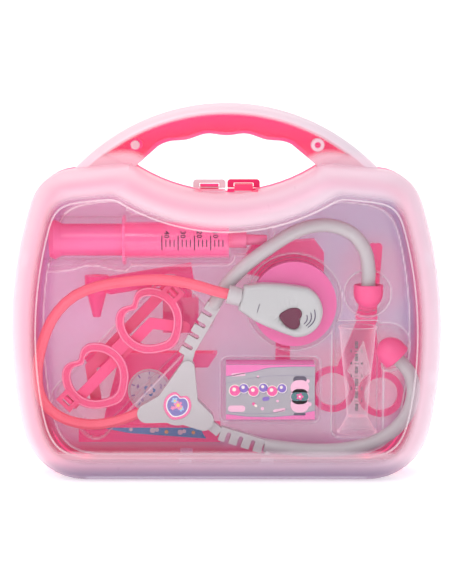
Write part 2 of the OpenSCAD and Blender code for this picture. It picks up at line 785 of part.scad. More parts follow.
module leads() {
  color("red") for (x = [-1, 1])
    rod_y(board_y + 0.05, cell_y - 0.85, chest_c[0] + 5 * x - 12, chest_c[1], 0.6);
}

// ---- Glasses, lying on the tray with their temples folded behind them ----
glasses_c = [-67.3, 83.4];
glasses_a = 46;
glasses_back = face_y - touch;
frame_front = glasses_back - frame_t;
heart_u = 24.7;
hinge_u = 48;
cheek_u = 5;
cheek_v = 6;
pivot_r = 1;
pivot_y = glasses_back - 1.6;
slot_u = 2.6;
slot_v = 3;
near_temple_y = face_y + 0.2;  // front of the temple that folds first
far_temple_y = near_temple_y + temple_t + 4.5;
module on_glasses() {
  translate(glasses_c) rotate(glasses_a) children();
}
module frame_2d() {
  for (side = [-1, 1]) translate([side * heart_u, -1.5]) difference() {
    round_heart(lens_r);
    round_heart(lens_r - heart_rim);
  }
  difference() {
    translate([-6, -4.5]) square([12, 8.5]);
    for (side = [-1, 1]) translate([side * heart_u, -1.5]) circle(lens_r - 2);
  }
}
module hinge_pin_place(side, y) {
  translate([glasses_c[0], y, glasses_c[1]]) rotate([0, -glasses_a, 0]) translate([side * hinge_u, 0, 0]) children();
}
module glasses_frame() {
  color("hotpink") difference() {
    union() {
      plate(frame_front, glasses_back) on_glasses() frame_2d();
      for (side = [-1, 1]) plate(frame_front - 0.6, glasses_back) on_glasses()
        translate([side * hinge_u - cheek_u, -cheek_v]) square([2 * cheek_u, 2 * cheek_v]);
    }
    for (side = [-1, 1]) {
      plate(frame_front - 2, glasses_back + 1) on_glasses()
        translate([side * hinge_u - slot_u, -slot_v]) square([2 * slot_u, 2 * slot_v]);
      hinge_pin_place(side, pivot_y) translate([0, 0, -cheek_v + 0.8]) cylinder(h = 2 * cheek_v - 1.6, r = pivot_r + snap);
    }
  }
}
// A temple for the right side, folded to the left: its knuckle, lug, band and ear hook
hook_bend = 72;
hook_run = [13, -17];
module temple(side, band_v, y0) {
  hinge_pin_place(side, pivot_y) {
    translate([0, 0, -slot_v + 0.2]) cylinder(h = 2 * slot_v - 0.4, r = 1.5);
    translate([0, 0, -cheek_v + 1]) cylinder(h = 2 * cheek_v - 2, r = pivot_r);
  }
  plate(pivot_y, y0 + temple_t) on_glasses() translate([side * hinge_u - 1.5, -slot_v + 0.2])
    square([3, 2 * slot_v - 0.4]);
  plate(y0, y0 + temple_t) on_glasses() mirror([side > 0 ? 0 : 1, 0]) {
    translate([hinge_u - hook_bend, band_v - temple_w / 2]) square([hook_bend + 1.5, temple_w]);
    hull() {
      translate([hinge_u - hook_bend, band_v]) circle(temple_w / 2);
      translate([hinge_u - hook_bend - hook_run[0], band_v + hook_run[1]]) circle(temple_w / 2);
    }
  }
}
module left_temple() {
  color("deeppink") temple(-1, -4, near_temple_y);
}
module right_temple() {
  color("deeppink") temple(1, 4, far_temple_y);
}

// ---- Carton and measuring cylinder ----
carton_c = [27.8, 55.3];
carton_back = 7;
module medicine_carton() {
  color("lavender") plate(carton_back - carton_d, carton_back)
    translate(carton_c - [carton_w, carton_h] / 2) square([carton_w, carton_h]);
}
cup_at = [83.4, -2];
cup_z = [27.7, 37, 96];      // foot, start of the body and rim
module measuring_cylinder() {
  color("azure", 0.5) translate([cup_at[0], cup_at[1], 0]) rotate_extrude() difference() {
    union() {
      polygon([[0, cup_z[1]], [cup_low_r, cup_z[1]], [cup_top_r - 0.6, cup_z[2] - 1.5], [0, cup_z[2] - 1.5]]);
      translate([0, cup_z[2] - 2]) square([cup_top_r, 2]);
      polygon([[0, cup_z[0]], [cup_foot_r, cup_z[0]], [cup_foot_r, cup_z[0] + 1.2], [cup_low_r - 0.5, cup_z[1] + 1],
        [0, cup_z[1] + 1]]);
    }
    polygon([[-1, cup_z[1] + 2.2], [cup_low_r - cup_wall, cup_z[1] + 2.2], [cup_top_r - cup_wall - 0.4, cup_z[2] + 1],
      [-1, cup_z[2] + 1]]);
    polygon([[-1, cup_z[0] - 1], [cup_foot_r - 2.4, cup_z[0] - 1], [cup_low_r - 2.2, cup_z[1] - 0.6], [-1, cup_z[1] - 0.6]]);
  }
}

// ---- Tray ----
tray_low = channel_h + wall + 1;
module tray_shape(d) {
  intersection() {
    polygon(outline(wall + tray_gap + d));
    translate([-half_w, tray_low + d]) square([case_w, case_h]);
  }
}
// A pocket as a flat shape, sunk to a floor; grow is the sheet round it
module sunk(floor_y, grow) {
  plate(grow > 0 ? face_y : face_y - 1, floor_y + grow) children();
}
module pocket_rect(low, high, grow) {
  translate(low - [grow, grow]) square(high - low + 2 * [grow, grow]);
}
syringe_floor = syringe_y + thumb_r + touch;
module pockets(grow) {
  sunk(syringe_floor, grow) {
    pocket_rect([thumb_x - 7, syringe_z - thumb_r - 0.8], [barrel_x1 + 1, syringe_z + thumb_r + 0.8], grow);
    pocket_rect([barrel_x0 - 1, syringe_z - flange_r - 0.5], [barrel_x0 + flange_t + 1, syringe_z + flange_r + 0.5], grow);
    pocket_rect([barrel_x1, syringe_z - collar_r - 2], [barrel_x1 + nozzle_l + 1.5, syringe_z + collar_r + 2], grow);
  }
  sunk(chest_back_y + touch, grow) {
    translate(chest_c) circle(chest_r + 1.5 + grow);
    translate([upper_end[0], upper_end[1]]) circle(tip_r + 3 + grow);
    translate([lower_end[0] - 2, lower_end[1] + 2]) circle(tip_r + 3.5 + grow);
  }
  sunk(glasses_floor, grow) on_glasses()
    pocket_rect([-hinge_u - 6, -30], [hinge_u + 6, 9], grow);
  sunk(carton_back + touch, grow)
    pocket_rect(carton_c - [carton_w, carton_h] / 2 - [1, 1], carton_c + [carton_w, carton_h] / 2 + [1, 1], grow);
  sunk(cup_at[1] + cup_foot_r + touch, grow)
    pocket_rect([cup_at[0] - cup_foot_r - 0.8, cup_z[0] - 1], [cup_at[0] + cup_foot_r + 0.8, cup_z[2] + 1], grow);
}
glasses_floor = 14.6;
module tray() {
  color("lightsteelblue", 0.4) difference() {
    union() {
      plate(face_y, face_y + sheet) tray_shape(0);
      plate(face_y, skirt) difference() {
        tray_shape(0);
        tray_shape(sheet);
      }
      intersection() {
        pockets(sheet);
        plate(face_y, shell_depth) tray_shape(0);
      }
    }
    pockets(0);
  }
}

// ---- Toys behind the tray, on the rear wall ----
toy_room = back_y - glasses_floor - sheet;   // depth that they share
head_r = (toy_room - touch) / 2;
scope_y = back_y - head_r;
scope_end = [-22, 128];
scope_head = [-84, 117.5];
scope_run = scope_head - scope_end;
scope_l = norm(scope_run) - 8;
head_h = 12;
module along_scope() {
  translate([scope_end[0], scope_y, scope_end[1]]) rotate([0, 90 - atan2(scope_run[1], scope_run[0]), 0]) children();
}
module otoscope_handle() {
  color("deeppink") difference() {
    along_scope() {
      cylinder(h = scope_l, r = scope_r);
      translate([0, 0, scope_l - 0.5]) cylinder(h = 4, r1 = scope_r, r2 = scope_r - 2);
    }
    switch_slot(0.3);
  }
}
switch_l = 9;
switch_travel = 5;
module switch_slot(grow) {
  along_scope() translate([-2 - grow, -scope_r - 1, 30 - grow]) cube([4 + 2 * grow, 3, switch_l + switch_travel + 2 * grow]);
}
module otoscope_switch() {
  color("pink") along_scope() {
    translate([-2, -scope_r + 0.8, 30]) cube([4, 1, switch_l]);
    translate([-2, -scope_r - 0.9, 32]) cube([4, 2, switch_l - 4]);
  }
}
module otoscope_head() {
  color("deeppink") difference() {
    translate([scope_head[0], scope_y, scope_head[1] - head_h / 2 + 2]) cylinder(h = head_h, r = head_r);
    translate([scope_head[0], scope_y, 0]) cylinder(h = case_h, r = 3);
    along_scope() cylinder(h = scope_l + 3.6, r = scope_r + 0.1);
  }
}
module otoscope_speculum() {
  color("hotpink") translate([scope_head[0], scope_y, scope_head[1] - head_h / 2 + 2 - 15]) difference() {
    union() {
      cylinder(h = 15, r1 = 2.4, r2 = 6.2);
      translate([0, 0, 14]) cylinder(h = 4, r = 2.9);
    }
    translate([0, 0, -1]) cylinder(h = 20, r1 = 1.2, r2 = 2.2);
  }
}
bottle_low = [-41, 89];
bottle_size = [23, toy_room - 0.7, 23];
bottle_neck_r = bottle_size[1] / 2 - 1.8;
cap_l = 6;
module pill_bottle() {
  mid = bottle_low[0] + bottle_size[0] / 2;
  color("deeppink") {
    translate([bottle_low[0], back_y - bottle_size[1], bottle_low[1]]) cube(bottle_size);
    translate([mid, back_y - bottle_size[1] / 2, bottle_low[1] + bottle_size[2] - 1]) cylinder(h = 5, r = bottle_neck_r);
  }
}
module bottle_cap() {
  color("white") translate([bottle_low[0] + bottle_size[0] / 2, back_y - bottle_size[1] / 2, bottle_low[1] + bottle_size[2] + 0.2])
    difference() {
      cylinder(h = cap_l, r = bottle_neck_r + 1.5);
      translate([0, 0, -1]) cylinder(h = cap_l - 0.4, r = bottle_neck_r + snap);
    }
}
hammer_x = 36.6;
hammer_head_z = 137;
hammer_low = 44;
hammer_t = toy_room - 0.5;
hammer_y = back_y - hammer_t / 2;
module hammer_handle() {
  color("deeppink") {
    translate([hammer_x, hammer_y, hammer_low]) cylinder(h = 60, r1 = 5.6, r2 = 4);
    translate([hammer_x, hammer_y, hammer_low + 59.5]) cylinder(h = hammer_head_z - hammer_low - 62, r = 4);
  }
}
module hammer_head() {
  color("mediumvioletred") difference() {
    plate(back_y - hammer_t, back_y) translate([hammer_x, hammer_head_z])
      polygon([[-27, -9], [-27, -4], [-20, 9], [20, 12], [26, 4], [26, -9], [8, -13], [-8, -13]]);
    translate([hammer_x, hammer_y, hammer_head_z - 20]) cylinder(h = 17.6, r = 4 + snap);
  }
}
// Scissors: pivot, rings below and short round-nosed blades above
pivot_at = [91, 98];
scissor_axis = 83;
ring_reach = 52;
ring_spread = 18;
blade_l = 46;
scissor_pin_r = 2;
ring_w = 4;
scissor_back = back_y - 0.7;
front_arm_y = scissor_back - 2 * scissor_t - 0.5;
module scissor_arm(side) {
  difference() {
    union() {
      circle(7);
      rotate(180 - side * ring_spread) hull() {
        circle(5);
        translate([ring_reach - ring_r, 0]) circle(3.4);
      }
      rotate(180 - side * ring_spread) translate([ring_reach, 0]) difference() {
        circle(ring_r);
        circle(ring_r - ring_w);
      }
      hull() {
        translate([0, side * 1.5]) circle(5);
        translate([blade_l, side * 1.8]) circle(2.6);
      }
    }
    circle(scissor_pin_r + snap);
  }
}
module scissor_arm_a() {
  color("hotpink") plate(front_arm_y, front_arm_y + scissor_t)
    translate(pivot_at) rotate(scissor_axis) scissor_arm(1);
}
module scissor_arm_b() {
  color("hotpink") plate(scissor_back - scissor_t, scissor_back)
    translate(pivot_at) rotate(scissor_axis) scissor_arm(-1);
}
module scissor_pin() {
  color("silver") {
    rod_y(front_arm_y - 0.2, scissor_back, pivot_at[0], pivot_at[1], scissor_pin_r);
    rod_y(front_arm_y - 1.3, front_arm_y - 0.1, pivot_at[0], pivot_at[1], scissor_pin_r + 1.6);
  }
}
// Toy scale: base, tapering body with a dial, and a wide pan on top
scale_c = -50;
scale_low = 17.3;
scale_front = back_y - toy_room + 1;
scale_top = 66;
dial_z = 51;
pan_w = 88;
module scale_body() {
  color("hotpink") difference() {
    union() {
      block([scale_c - 46, scale_front, scale_low], [scale_c + 46, back_y, scale_low + 11]);
      plate(scale_front + 2, back_y) polygon([[scale_c - 31, scale_low + 10], [scale_c + 31, scale_low + 10],
        [scale_c + 21, scale_top], [scale_c - 21, scale_top]]);
    }
    rod_y(scale_front + 1, scale_front + 2.6, scale_c, dial_z, dial_r + 0.3);
    rod_y(scale_front, scale_front + 6, scale_c, dial_z, 1 + snap);
  }
}
module scale_dial() {
  color("white") difference() {
    rod_y(scale_front + 2.1, scale_front + 2.6, scale_c, dial_z, dial_r);
    rod_y(scale_front, scale_front + 5, scale_c, dial_z, 1.4);
  }
}
module scale_needle() {
  color("red") {
    rod_y(scale_front + 0.4, scale_front + 5.5, scale_c, dial_z, 1);
    rod_y(scale_front + 0.4, scale_front + 1.6, scale_c, dial_z, 2.4);
    plate(scale_front + 0.6, scale_front + 1.4) translate([scale_c, dial_z])
      polygon([[-1.2, 0], [0, dial_r - 2], [1.2, 0]]);
  }
}
module scale_pan() {
  color("hotpink") difference() {
    union() {
      plate(scale_front, back_y) translate([scale_c, scale_top + touch])
        polygon([[-pan_w / 2 + 6, 0], [pan_w / 2 - 6, 0], [pan_w / 2, 9], [-pan_w / 2, 9]]);
    }
    plate(scale_front + 1.6, back_y - 1.6) translate([scale_c, scale_top + touch + 1.6])
      polygon([[-pan_w / 2 + 8, 0], [pan_w / 2 - 8, 0], [pan_w / 2 - 1.4, 8.4], [-pan_w / 2 + 1.4, 8.4]]);
  }
}
module scale_label() {
  color("steelblue") plate(scale_front - 0.3, scale_front - 0.02)
    polygon([[scale_c - 36, scale_low + 3], [scale_c + 36, scale_low + 1], [scale_c + 34, scale_low + 8], [scale_c - 30, scale_low + 10]]);
}

rear_shell();
front_shell();
front_latch_tab();
rear_latch_tab();
tray();
syringe_barrel();
syringe_plunger();
syringe_nozzle();
stethoscope_yoke();
yoke_sticker();
upper_arm();
lower_arm();
upper_ear_tip();
lower_ear_tip();
sound_tube();
tube_collar();
chest_body();
chest_base();
heart_button();
chest_back();
battery_door();
battery_screw();
button_cells();
battery_contacts();
circuit_board();
dome_switch();
heart_light();
sounder();
leads();
glasses_frame();
left_temple();
right_temple();
medicine_carton();
measuring_cylinder();
otoscope_handle();
otoscope_head();
otoscope_speculum();
otoscope_switch();
pill_bottle();
bottle_cap();
hammer_handle();
hammer_head();
scissor_arm_a();
scissor_arm_b();
scissor_pin();
scale_body();
scale_pan();
scale_dial();
scale_needle();
scale_label();
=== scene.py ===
import math
import bpy
import bmesh
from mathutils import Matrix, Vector
from mathutils.bvhtree import BVHTree


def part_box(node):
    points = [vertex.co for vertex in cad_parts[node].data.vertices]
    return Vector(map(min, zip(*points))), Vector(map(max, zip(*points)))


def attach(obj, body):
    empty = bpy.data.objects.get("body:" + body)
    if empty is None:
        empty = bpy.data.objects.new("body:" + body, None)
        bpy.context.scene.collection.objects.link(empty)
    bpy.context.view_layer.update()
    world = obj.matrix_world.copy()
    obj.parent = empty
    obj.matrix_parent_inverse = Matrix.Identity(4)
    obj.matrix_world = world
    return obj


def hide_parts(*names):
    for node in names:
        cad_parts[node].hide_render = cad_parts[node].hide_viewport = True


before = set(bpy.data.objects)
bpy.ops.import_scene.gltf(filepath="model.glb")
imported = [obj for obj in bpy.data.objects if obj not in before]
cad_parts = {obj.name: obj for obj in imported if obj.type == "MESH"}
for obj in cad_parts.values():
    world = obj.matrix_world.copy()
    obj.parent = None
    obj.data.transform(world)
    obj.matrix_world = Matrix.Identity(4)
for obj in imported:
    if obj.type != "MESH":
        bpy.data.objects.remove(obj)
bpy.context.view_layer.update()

# ---------------------------------------------------------------- The view
# The closed case stands upright on a white sweep and is seen square on from
# a little above, as in the catalogue picture. Soft white light comes from
# broad boxes in front, above and at both sides, and from the sweep itself.

AIM, AWAY, RISE = Vector((-0.0003, 0.0, 0.1175)), 1.2, math.radians(7)
camera = bpy.data.objects.new("camera", bpy.data.cameras.new("camera"))
bpy.context.scene.collection.objects.link(camera)
camera.location = AIM + AWAY * Vector((0, -math.cos(RISE), math.sin(RISE)))
camera.rotation_euler = (AIM - camera.location).to_track_quat("-Z", "Y").to_euler()
camera.data.lens = 116.5
camera.data.clip_start, camera.data.clip_end = 0.05, 30
bpy.context.scene.camera = camera
bpy.context.scene.view_settings.view_transform = "Standard"
bpy.context.scene.view_settings.look = "None"


def paint(code):
    """A colour written as on a paint card, turned into the linear values that a shader wants."""
    parts = [int(code[i:i + 2], 16) / 255 for i in (1, 3, 5)]
    return tuple(c / 12.92 if c < 0.04045 else ((c + 0.055) / 1.055) ** 2.4 for c in parts) + (1.0,)


def fill(tree, node, given):
    """Gives a node's inputs, by name or number, a figure or another node's output each."""
    for label, value in given.items():
        if isinstance(value, bpy.types.NodeSocket):
            tree.links.new(value, node.inputs[label])
        else:
            node.inputs[label].default_value = value


def add_node(tree, kind, given=None, **settings):
    """A new node with its settings and inputs."""
    made = tree.nodes.new(kind)
    for label, value in settings.items():
        setattr(made, label, value)
    fill(tree, made, given or {})
    return made


def blend_of(tree, mask, first, second):
    """Goes from one colour to another with a mask; a colour is a hex text or another node's output."""
    first, second = [paint(c) if isinstance(c, str) else c for c in (first, second)]
    return add_node(tree, "ShaderNodeMix", {"Factor": mask, "A": first, "B": second},
                    data_type="RGBA").outputs["Result"]


def strip_faces(count):
    """The faces of a strip whose points come in pairs."""
    return [(2 * i, 2 * i + 1, 2 * i + 3, 2 * i + 2) for i in range(count)]


def piece_from(name, verts, faces, smooth=True):
    """A new mesh object from points in metres and faces."""
    mesh = bpy.data.meshes.new(name)
    mesh.from_pydata([tuple(v) for v in verts], [], [tuple(f) for f in faces], shade_flat=not smooth)
    mesh.validate()
    made = bpy.data.objects.new(name, mesh)
    bpy.context.scene.collection.objects.link(made)
    return made


SWEEP_WIDE, SWEEP_NEAR, SWEEP_FAR, SWEEP_BEND, SWEEP_HIGH = 3.5, -3.0, 1.2, 0.8, 4.0
sweep_line = [(SWEEP_NEAR, 0.0), (SWEEP_FAR, 0.0)]
for bend in range(6, 91, 6):
    a = math.radians(bend)
    sweep_line.append((SWEEP_FAR + SWEEP_BEND * math.sin(a), SWEEP_BEND - SWEEP_BEND * math.cos(a)))
sweep_line.append((SWEEP_FAR + SWEEP_BEND, SWEEP_HIGH))
sweep = piece_from("sweep", [(x, y, z) for y, z in sweep_line for x in (-SWEEP_WIDE, SWEEP_WIDE)],
                   strip_faces(len(sweep_line) - 1))
sweep_paper = bpy.data.materials.new("sweep_paper")
sweep_paper.use_nodes = True
paper = sweep_paper.node_tree
fibres = add_node(paper, "ShaderNodeTexNoise", {"Scale": 40})
tone = blend_of(paper, fibres.outputs["Fac"], "#f4f4f4", "#ffffff")
fill(paper, paper.nodes["Principled BSDF"], {
    "Base Color": tone, "Roughness": 0.9, "Specular IOR Level": 0.1, "Emission Color": tone,
    "Emission Strength": 0.5})
sweep.data.materials.append(sweep_paper)

# The room is white where the camera looks at it and dimmer as a light.
world = bpy.data.worlds.new("studio")
world.use_nodes = True
looked_at = world.node_tree.nodes.new("ShaderNodeLightPath").outputs["Is Camera Ray"]
strength = add_node(world.node_tree, "ShaderNodeMapRange", {
    "Value": looked_at, "To Min": 0.44, "To Max": 1.0})
fill(world.node_tree, world.node_tree.nodes["Background"], {
    "Color": (1, 1, 1, 1), "Strength": strength.outputs["Result"]})
bpy.context.scene.world = world

for name, place, (wide, high), power in (
        ("front_box", (-0.5, -1.5, 1.3), (1.0, 0.7), 9), ("left_box", (-1.3, -0.5, 0.6), (0.5, 1.0), 3),
        ("right_box", (1.3, -0.6, 0.7), (0.5, 1.0), 3), ("top_box", (0, 0.3, 1.5), (1.4, 0.8), 6)):
    lamp = bpy.data.lights.new(name, "AREA")
    lamp.shape, lamp.size, lamp.size_y, lamp.energy = "RECTANGLE", wide, high, power
    soft_box = bpy.data.objects.new(name, lamp)
    soft_box.location = place
    soft_box.rotation_euler = (Vector((0, 0, 0.1)) - Vector(place)).to_track_quat("-Z", "Y").to_euler()
    bpy.context.scene.collection.objects.link(soft_box)

# ---------------------------------------------------------------- Rear shell
# The pink rear half is injection-moulded polypropylene, see-through enough
# for daylight to glow in it, with a moulded spark-eroded back. Its hot pink
# grip trough shows through the clear half of the handle.


def reckon(tree, operation, *values):
    """One sum on figures or other nodes' outputs."""
    return add_node(tree, "ShaderNodeMath", dict(enumerate(values)), operation=operation).outputs[0]


def ramp_of(tree, value, low, high, first=0.0, last=1.0):
    """A value spread softly between two limits, from a first figure to a last one."""
    return add_node(tree, "ShaderNodeMapRange", {
        "Value": value, "From Min": low, "From Max": high, "To Min": first, "To Max": last,
    }, interpolation_type="SMOOTHSTEP").outputs["Result"]


def moulded_grain():
    """Shared finish of moulded plastic: slight colour flow, fine skin and rubbed patches."""
    group = bpy.data.node_groups.new("moulded_grain", "ShaderNodeTree")
    socket = group.interface.new_socket
    socket("Colour", in_out="INPUT", socket_type="NodeSocketColor")
    socket("Flow Colour", in_out="INPUT", socket_type="NodeSocketColor")
    for label, value in (("Flow Scale", 40.0), ("Roughness", 0.35), ("Rub", 0.1), ("Skin Scale", 2500.0)):
        socket(label, in_out="INPUT", socket_type="NodeSocketFloat").default_value = value
    socket("Colour", in_out="OUTPUT", socket_type="NodeSocketColor")
    for label in ("Roughness", "Height"):
        socket(label, in_out="OUTPUT", socket_type="NodeSocketFloat")
    came = group.nodes.new("NodeGroupInput").outputs
    place = group.nodes.new("ShaderNodeTexCoord").outputs["Object"]

    def noise(scale, detail):
        given = {"Vector": place, "Scale": scale, "Detail": detail}
        return add_node(group, "ShaderNodeTexNoise", given).outputs["Fac"]

    rubs = reckon(group, "SUBTRACT", noise(170, 6), 0.5)
    add_node(group, "NodeGroupOutput", {
        "Colour": blend_of(group, noise(came["Flow Scale"], 3), came["Colour"], came["Flow Colour"]),
        "Roughness": reckon(group, "MULTIPLY_ADD", rubs, came["Rub"], came["Roughness"]),
        "Height": noise(came["Skin Scale"], 2)})
    return group


GRAIN, SKIN_HEIGHT = moulded_grain(), 0.0004


def plastic(name, colour, flow, rough=0.35, rub=0.12, coat=0.0, skin=0.02, flow_scale=40.0, alpha=1.0,
            painted_glow_strength=0.0):
    """A moulded plastic with its own colours over the shared grain and, if asked, a painted glow in those
    colours.
    """
    material = bpy.data.materials.new(name)
    material.use_nodes = True
    tree, shader = material.node_tree, material.node_tree.nodes["Principled BSDF"]
    grain = add_node(tree, "ShaderNodeGroup", {
        "Colour": paint(colour), "Flow Colour": paint(flow), "Flow Scale": flow_scale,
        "Roughness": rough, "Rub": rub}, node_tree=GRAIN).outputs
    bump = add_node(tree, "ShaderNodeBump", {
        "Strength": skin, "Distance": SKIN_HEIGHT, "Height": grain["Height"]})
    fill(tree, shader, {
        "Base Color": grain["Colour"], "Roughness": grain["Roughness"], "Normal": bump.outputs["Normal"],
        "Coat Weight": coat, "Coat Roughness": 0.08, "Alpha": alpha})
    # A glow strength makes the plastic glow in its own colours: a painted glow, not a lamp.
    if painted_glow_strength:
        fill(tree, shader, {"Emission Color": grain["Colour"], "Emission Strength": painted_glow_strength})
    return material


def soft_edge_nodes():
    """A modifier that joins the CAD model's faces and shades them smoothly up to its real edges."""
    group = bpy.data.node_groups.new("soft_edges", "GeometryNodeTree")
    for way in ("INPUT", "OUTPUT"):
        group.interface.new_socket("Geometry", in_out=way, socket_type="NodeSocketGeometry")
    came = group.nodes.new("NodeGroupInput").outputs[0]
    joined = add_node(group, "GeometryNodeMergeByDistance", {"Geometry": came, "Distance": 0.00002})
    angle = group.nodes.new("GeometryNodeInputMeshEdgeAngle").outputs["Unsigned Angle"]
    sharp = add_node(group, "FunctionNodeCompare", {"A": angle, "B": math.radians(34)},
                     data_type="FLOAT", operation="GREATER_THAN").outputs[0]
    shaded = add_node(group, "GeometryNodeSetMeshNormal", {
        "Mesh": joined.outputs[0], "Remove Custom": True, "Edge Sharpness": sharp, "Face Sharpness": False},
        mode="SHARPNESS")
    add_node(group, "NodeGroupOutput", {0: shaded.outputs[0]})
    return group


SOFT_EDGES = soft_edge_nodes()


def dress(name, material, bevel=0.0):
    """A CAD node keeps its shape and place; it gets its finish and, if wanted, softened edges."""
    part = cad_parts[name]
    for slot in part.material_slots:
        slot.material = material
    if bevel:
        part.modifiers.new("weld", "WELD").merge_threshold = 2e-6
        soft = part.modifiers.new("edges", "BEVEL")
        soft.width, soft.segments, soft.limit_method = bevel, 2, "ANGLE"
        soft.angle_limit, soft.use_clamp_overlap = math.radians(32), True
        part.modifiers.new("closed_slivers", "WELD").merge_threshold = 1.2e-5
    part.modifiers.new("soft_edges", "NODES").node_group = SOFT_EDGES
    even = part.modifiers.new("even", "WEIGHTED_NORMAL")
    even.keep_sharp, even.weight = True, 80


def place_in(tree):
    """A point's X, Y and Z in the object's own place."""
    place = tree.nodes.new("ShaderNodeTexCoord").outputs["Object"]
    return add_node(tree, "ShaderNodeSeparateXYZ", {0: place}).outputs


def reach_from(tree, x, z, at):
    """How far a point lies from a place, seen from the front."""
    gone = [reckon(tree, "SUBTRACT", value, start) for value, start in zip((x, z), at)]
    return reckon(tree, "SQRT", reckon(tree, "ADD", *[reckon(tree, "MULTIPLY", g, g) for g in gone]))


CASE_SIDE = ((-0.140, 0.092), 0.275)
CASE_DIP = ((0.0, 0.286), 0.105)
CASE_TOP_TILT = math.radians(84)
CASE_TOP_POINT = (0.0979, 0.1958)
CASE_CORNER = 0.030
PANEL_SIDE, PANEL_LOW, PANEL_TOP, PANEL_DIP = 0.0138, 0.0144, 0.0170, 0.0199
PANEL_CORNER, PANEL_SHOULDER, PANEL_PEAK = 0.032, 0.018, 0.005
GRIP_ARCH = ((0.0, 0.105), 0.132)
CASE_MASKS = ("Case Distance", "Grip Distance", "Panel Distance", "Slant")


def case_edge_distance():
    """How far a point lies inside case, grip and window panel, in metres, and a slant across."""
    group = bpy.data.node_groups.new("case_edge_distance", "ShaderNodeTree")
    for label in CASE_MASKS:
        group.interface.new_socket(label, in_out="OUTPUT", socket_type="NodeSocketFloat")
    right, back, up = place_in(group)
    across = reckon(group, "ABSOLUTE", right)

    def less(value, amount):
        return reckon(group, "SUBTRACT", value, amount)

    def nearest(first, second, round_off):
        return reckon(group, "SMOOTH_MIN", first, second, round_off)

    side = less(CASE_SIDE[1], reach_from(group, across, up, CASE_SIDE[0]))
    dip = less(reach_from(group, across, up, CASE_DIP[0]), CASE_DIP[1])
    run_x = reckon(group, "MULTIPLY", less(across, CASE_TOP_POINT[0]), -math.cos(CASE_TOP_TILT))
    run_z = reckon(group, "MULTIPLY", less(up, CASE_TOP_POINT[1]), -math.sin(CASE_TOP_TILT))
    top = reckon(group, "ADD", run_x, run_z)
    case = nearest(nearest(side, up, CASE_CORNER), top, CASE_CORNER * 0.6)
    panel = nearest(less(side, PANEL_SIDE), less(up, PANEL_LOW), PANEL_CORNER)
    panel = nearest(panel, less(top, PANEL_TOP), PANEL_SHOULDER)
    add_node(group, "NodeGroupOutput", {
        "Case Distance": nearest(case, dip, CASE_CORNER * 0.3),
        "Grip Distance": less(GRIP_ARCH[1], reach_from(group, across, up, GRIP_ARCH[0])),
        "Panel Distance": nearest(panel, less(dip, PANEL_DIP), PANEL_PEAK),
        "Slant": reckon(group, "MULTIPLY_ADD", up, -0.6, right)})
    return group


EDGE_DISTANCE = case_edge_distance()


def of_case(tree):
    """The case's own distances for a material, as case_edge_distance gives them."""
    edge = add_node(tree, "ShaderNodeGroup", node_tree=EDGE_DISTANCE)
    return [edge.outputs[label] for label in CASE_MASKS]


def tone_over(tree, mask, colour, socket="Base Color"):
    """Lays a colour over what already feeds the shader, where the mask is 1."""
    goal = tree.nodes["Principled BSDF"].inputs[socket]
    under = goal.links[0].from_socket if goal.links else "#000000"
    tree.links.new(blend_of(tree, mask, under, colour), goal)


shell_pink = plastic("shell_pink", "#fb4694", "#fd58a0", rough=0.5)
pink = shell_pink.node_tree
case_in, grip_in, _, slant = of_case(pink)
right, back, up = place_in(pink)
fill(pink, pink.nodes["Principled BSDF"], {
    "Specular IOR Level": 0.25, "Emission Strength": 1.0,
    "Alpha": ramp_of(pink, case_in, 0.010, 0.024, 0.96, 0.60)})

# The inside of the back wall carries painted light: a painted haze of scattered light, pink at the upper
# left and mauve at the lower right, painted hot pink light round the toys against it, and a painted glow in
# its emission, stronger towards the bottom.
WALL_FACE = (0.0316, 0.0324)
inside = reckon(pink, "MULTIPLY", ramp_of(pink, back, *WALL_FACE, 1.0, 0.0),
                ramp_of(pink, case_in, 0.008, 0.016))
rightward = ramp_of(pink, slant, -0.17, -0.01)
painted_haze = blend_of(pink, rightward, "#de96d2", "#b6aad2")
for toy_at, reach, share in (
        ((0.096, 0.062), 0.040, 1.0), ((0.062, 0.060), 0.030, 0.8), ((0.096, 0.125), 0.034, 0.5),
        ((0.020, 0.105), 0.055, 0.5), ((-0.045, 0.060), 0.060, 0.45)):
    spot = ramp_of(pink, reach_from(pink, right, up, toy_at), reach * 0.4, reach, share, 0.0)
    painted_haze = blend_of(pink, spot, painted_haze, "#ea4c90")
tone_over(pink, inside, painted_haze)
painted_wall_glow = blend_of(pink, rightward, "#4e4668", "#404e62")
painted_wall_glow = blend_of(pink, ramp_of(pink, up, 0.055, 0.020), painted_wall_glow, "#77505f")
tone_over(pink, inside, painted_wall_glow, "Emission Color")

# Outside the case's outline lies the handle, with its hot pink trough.
outside = ramp_of(pink, case_in, 0.004, -0.004)
tone_over(pink, outside, "#ff2a86")
# The handle's emission is a painted glow.
tone_over(pink, outside, "#701038", "Emission Color")
# A painted lighter pink runs along the inner edge of the trough.
painted_trough_light = reckon(pink, "MULTIPLY", outside, ramp_of(pink, grip_in, 0.0140, 0.0205, 0.0, 0.8))
tone_over(pink, painted_trough_light, "#fa5486")
dress("rear_shell", shell_pink)
dress("rear_latch_tab", plastic("latch_pink", "#f2106c", "#f5246f", rough=0.35), bevel=0.0003)

# ---------------------------------------------------------------- Loose toys at the back
# Plain hot pink polypropylene mouldings lie loose behind the tray: otoscope,
# scissors, reflex hammer, scale and a capped pill bottle. Only the scale's
# dial and needle are white.

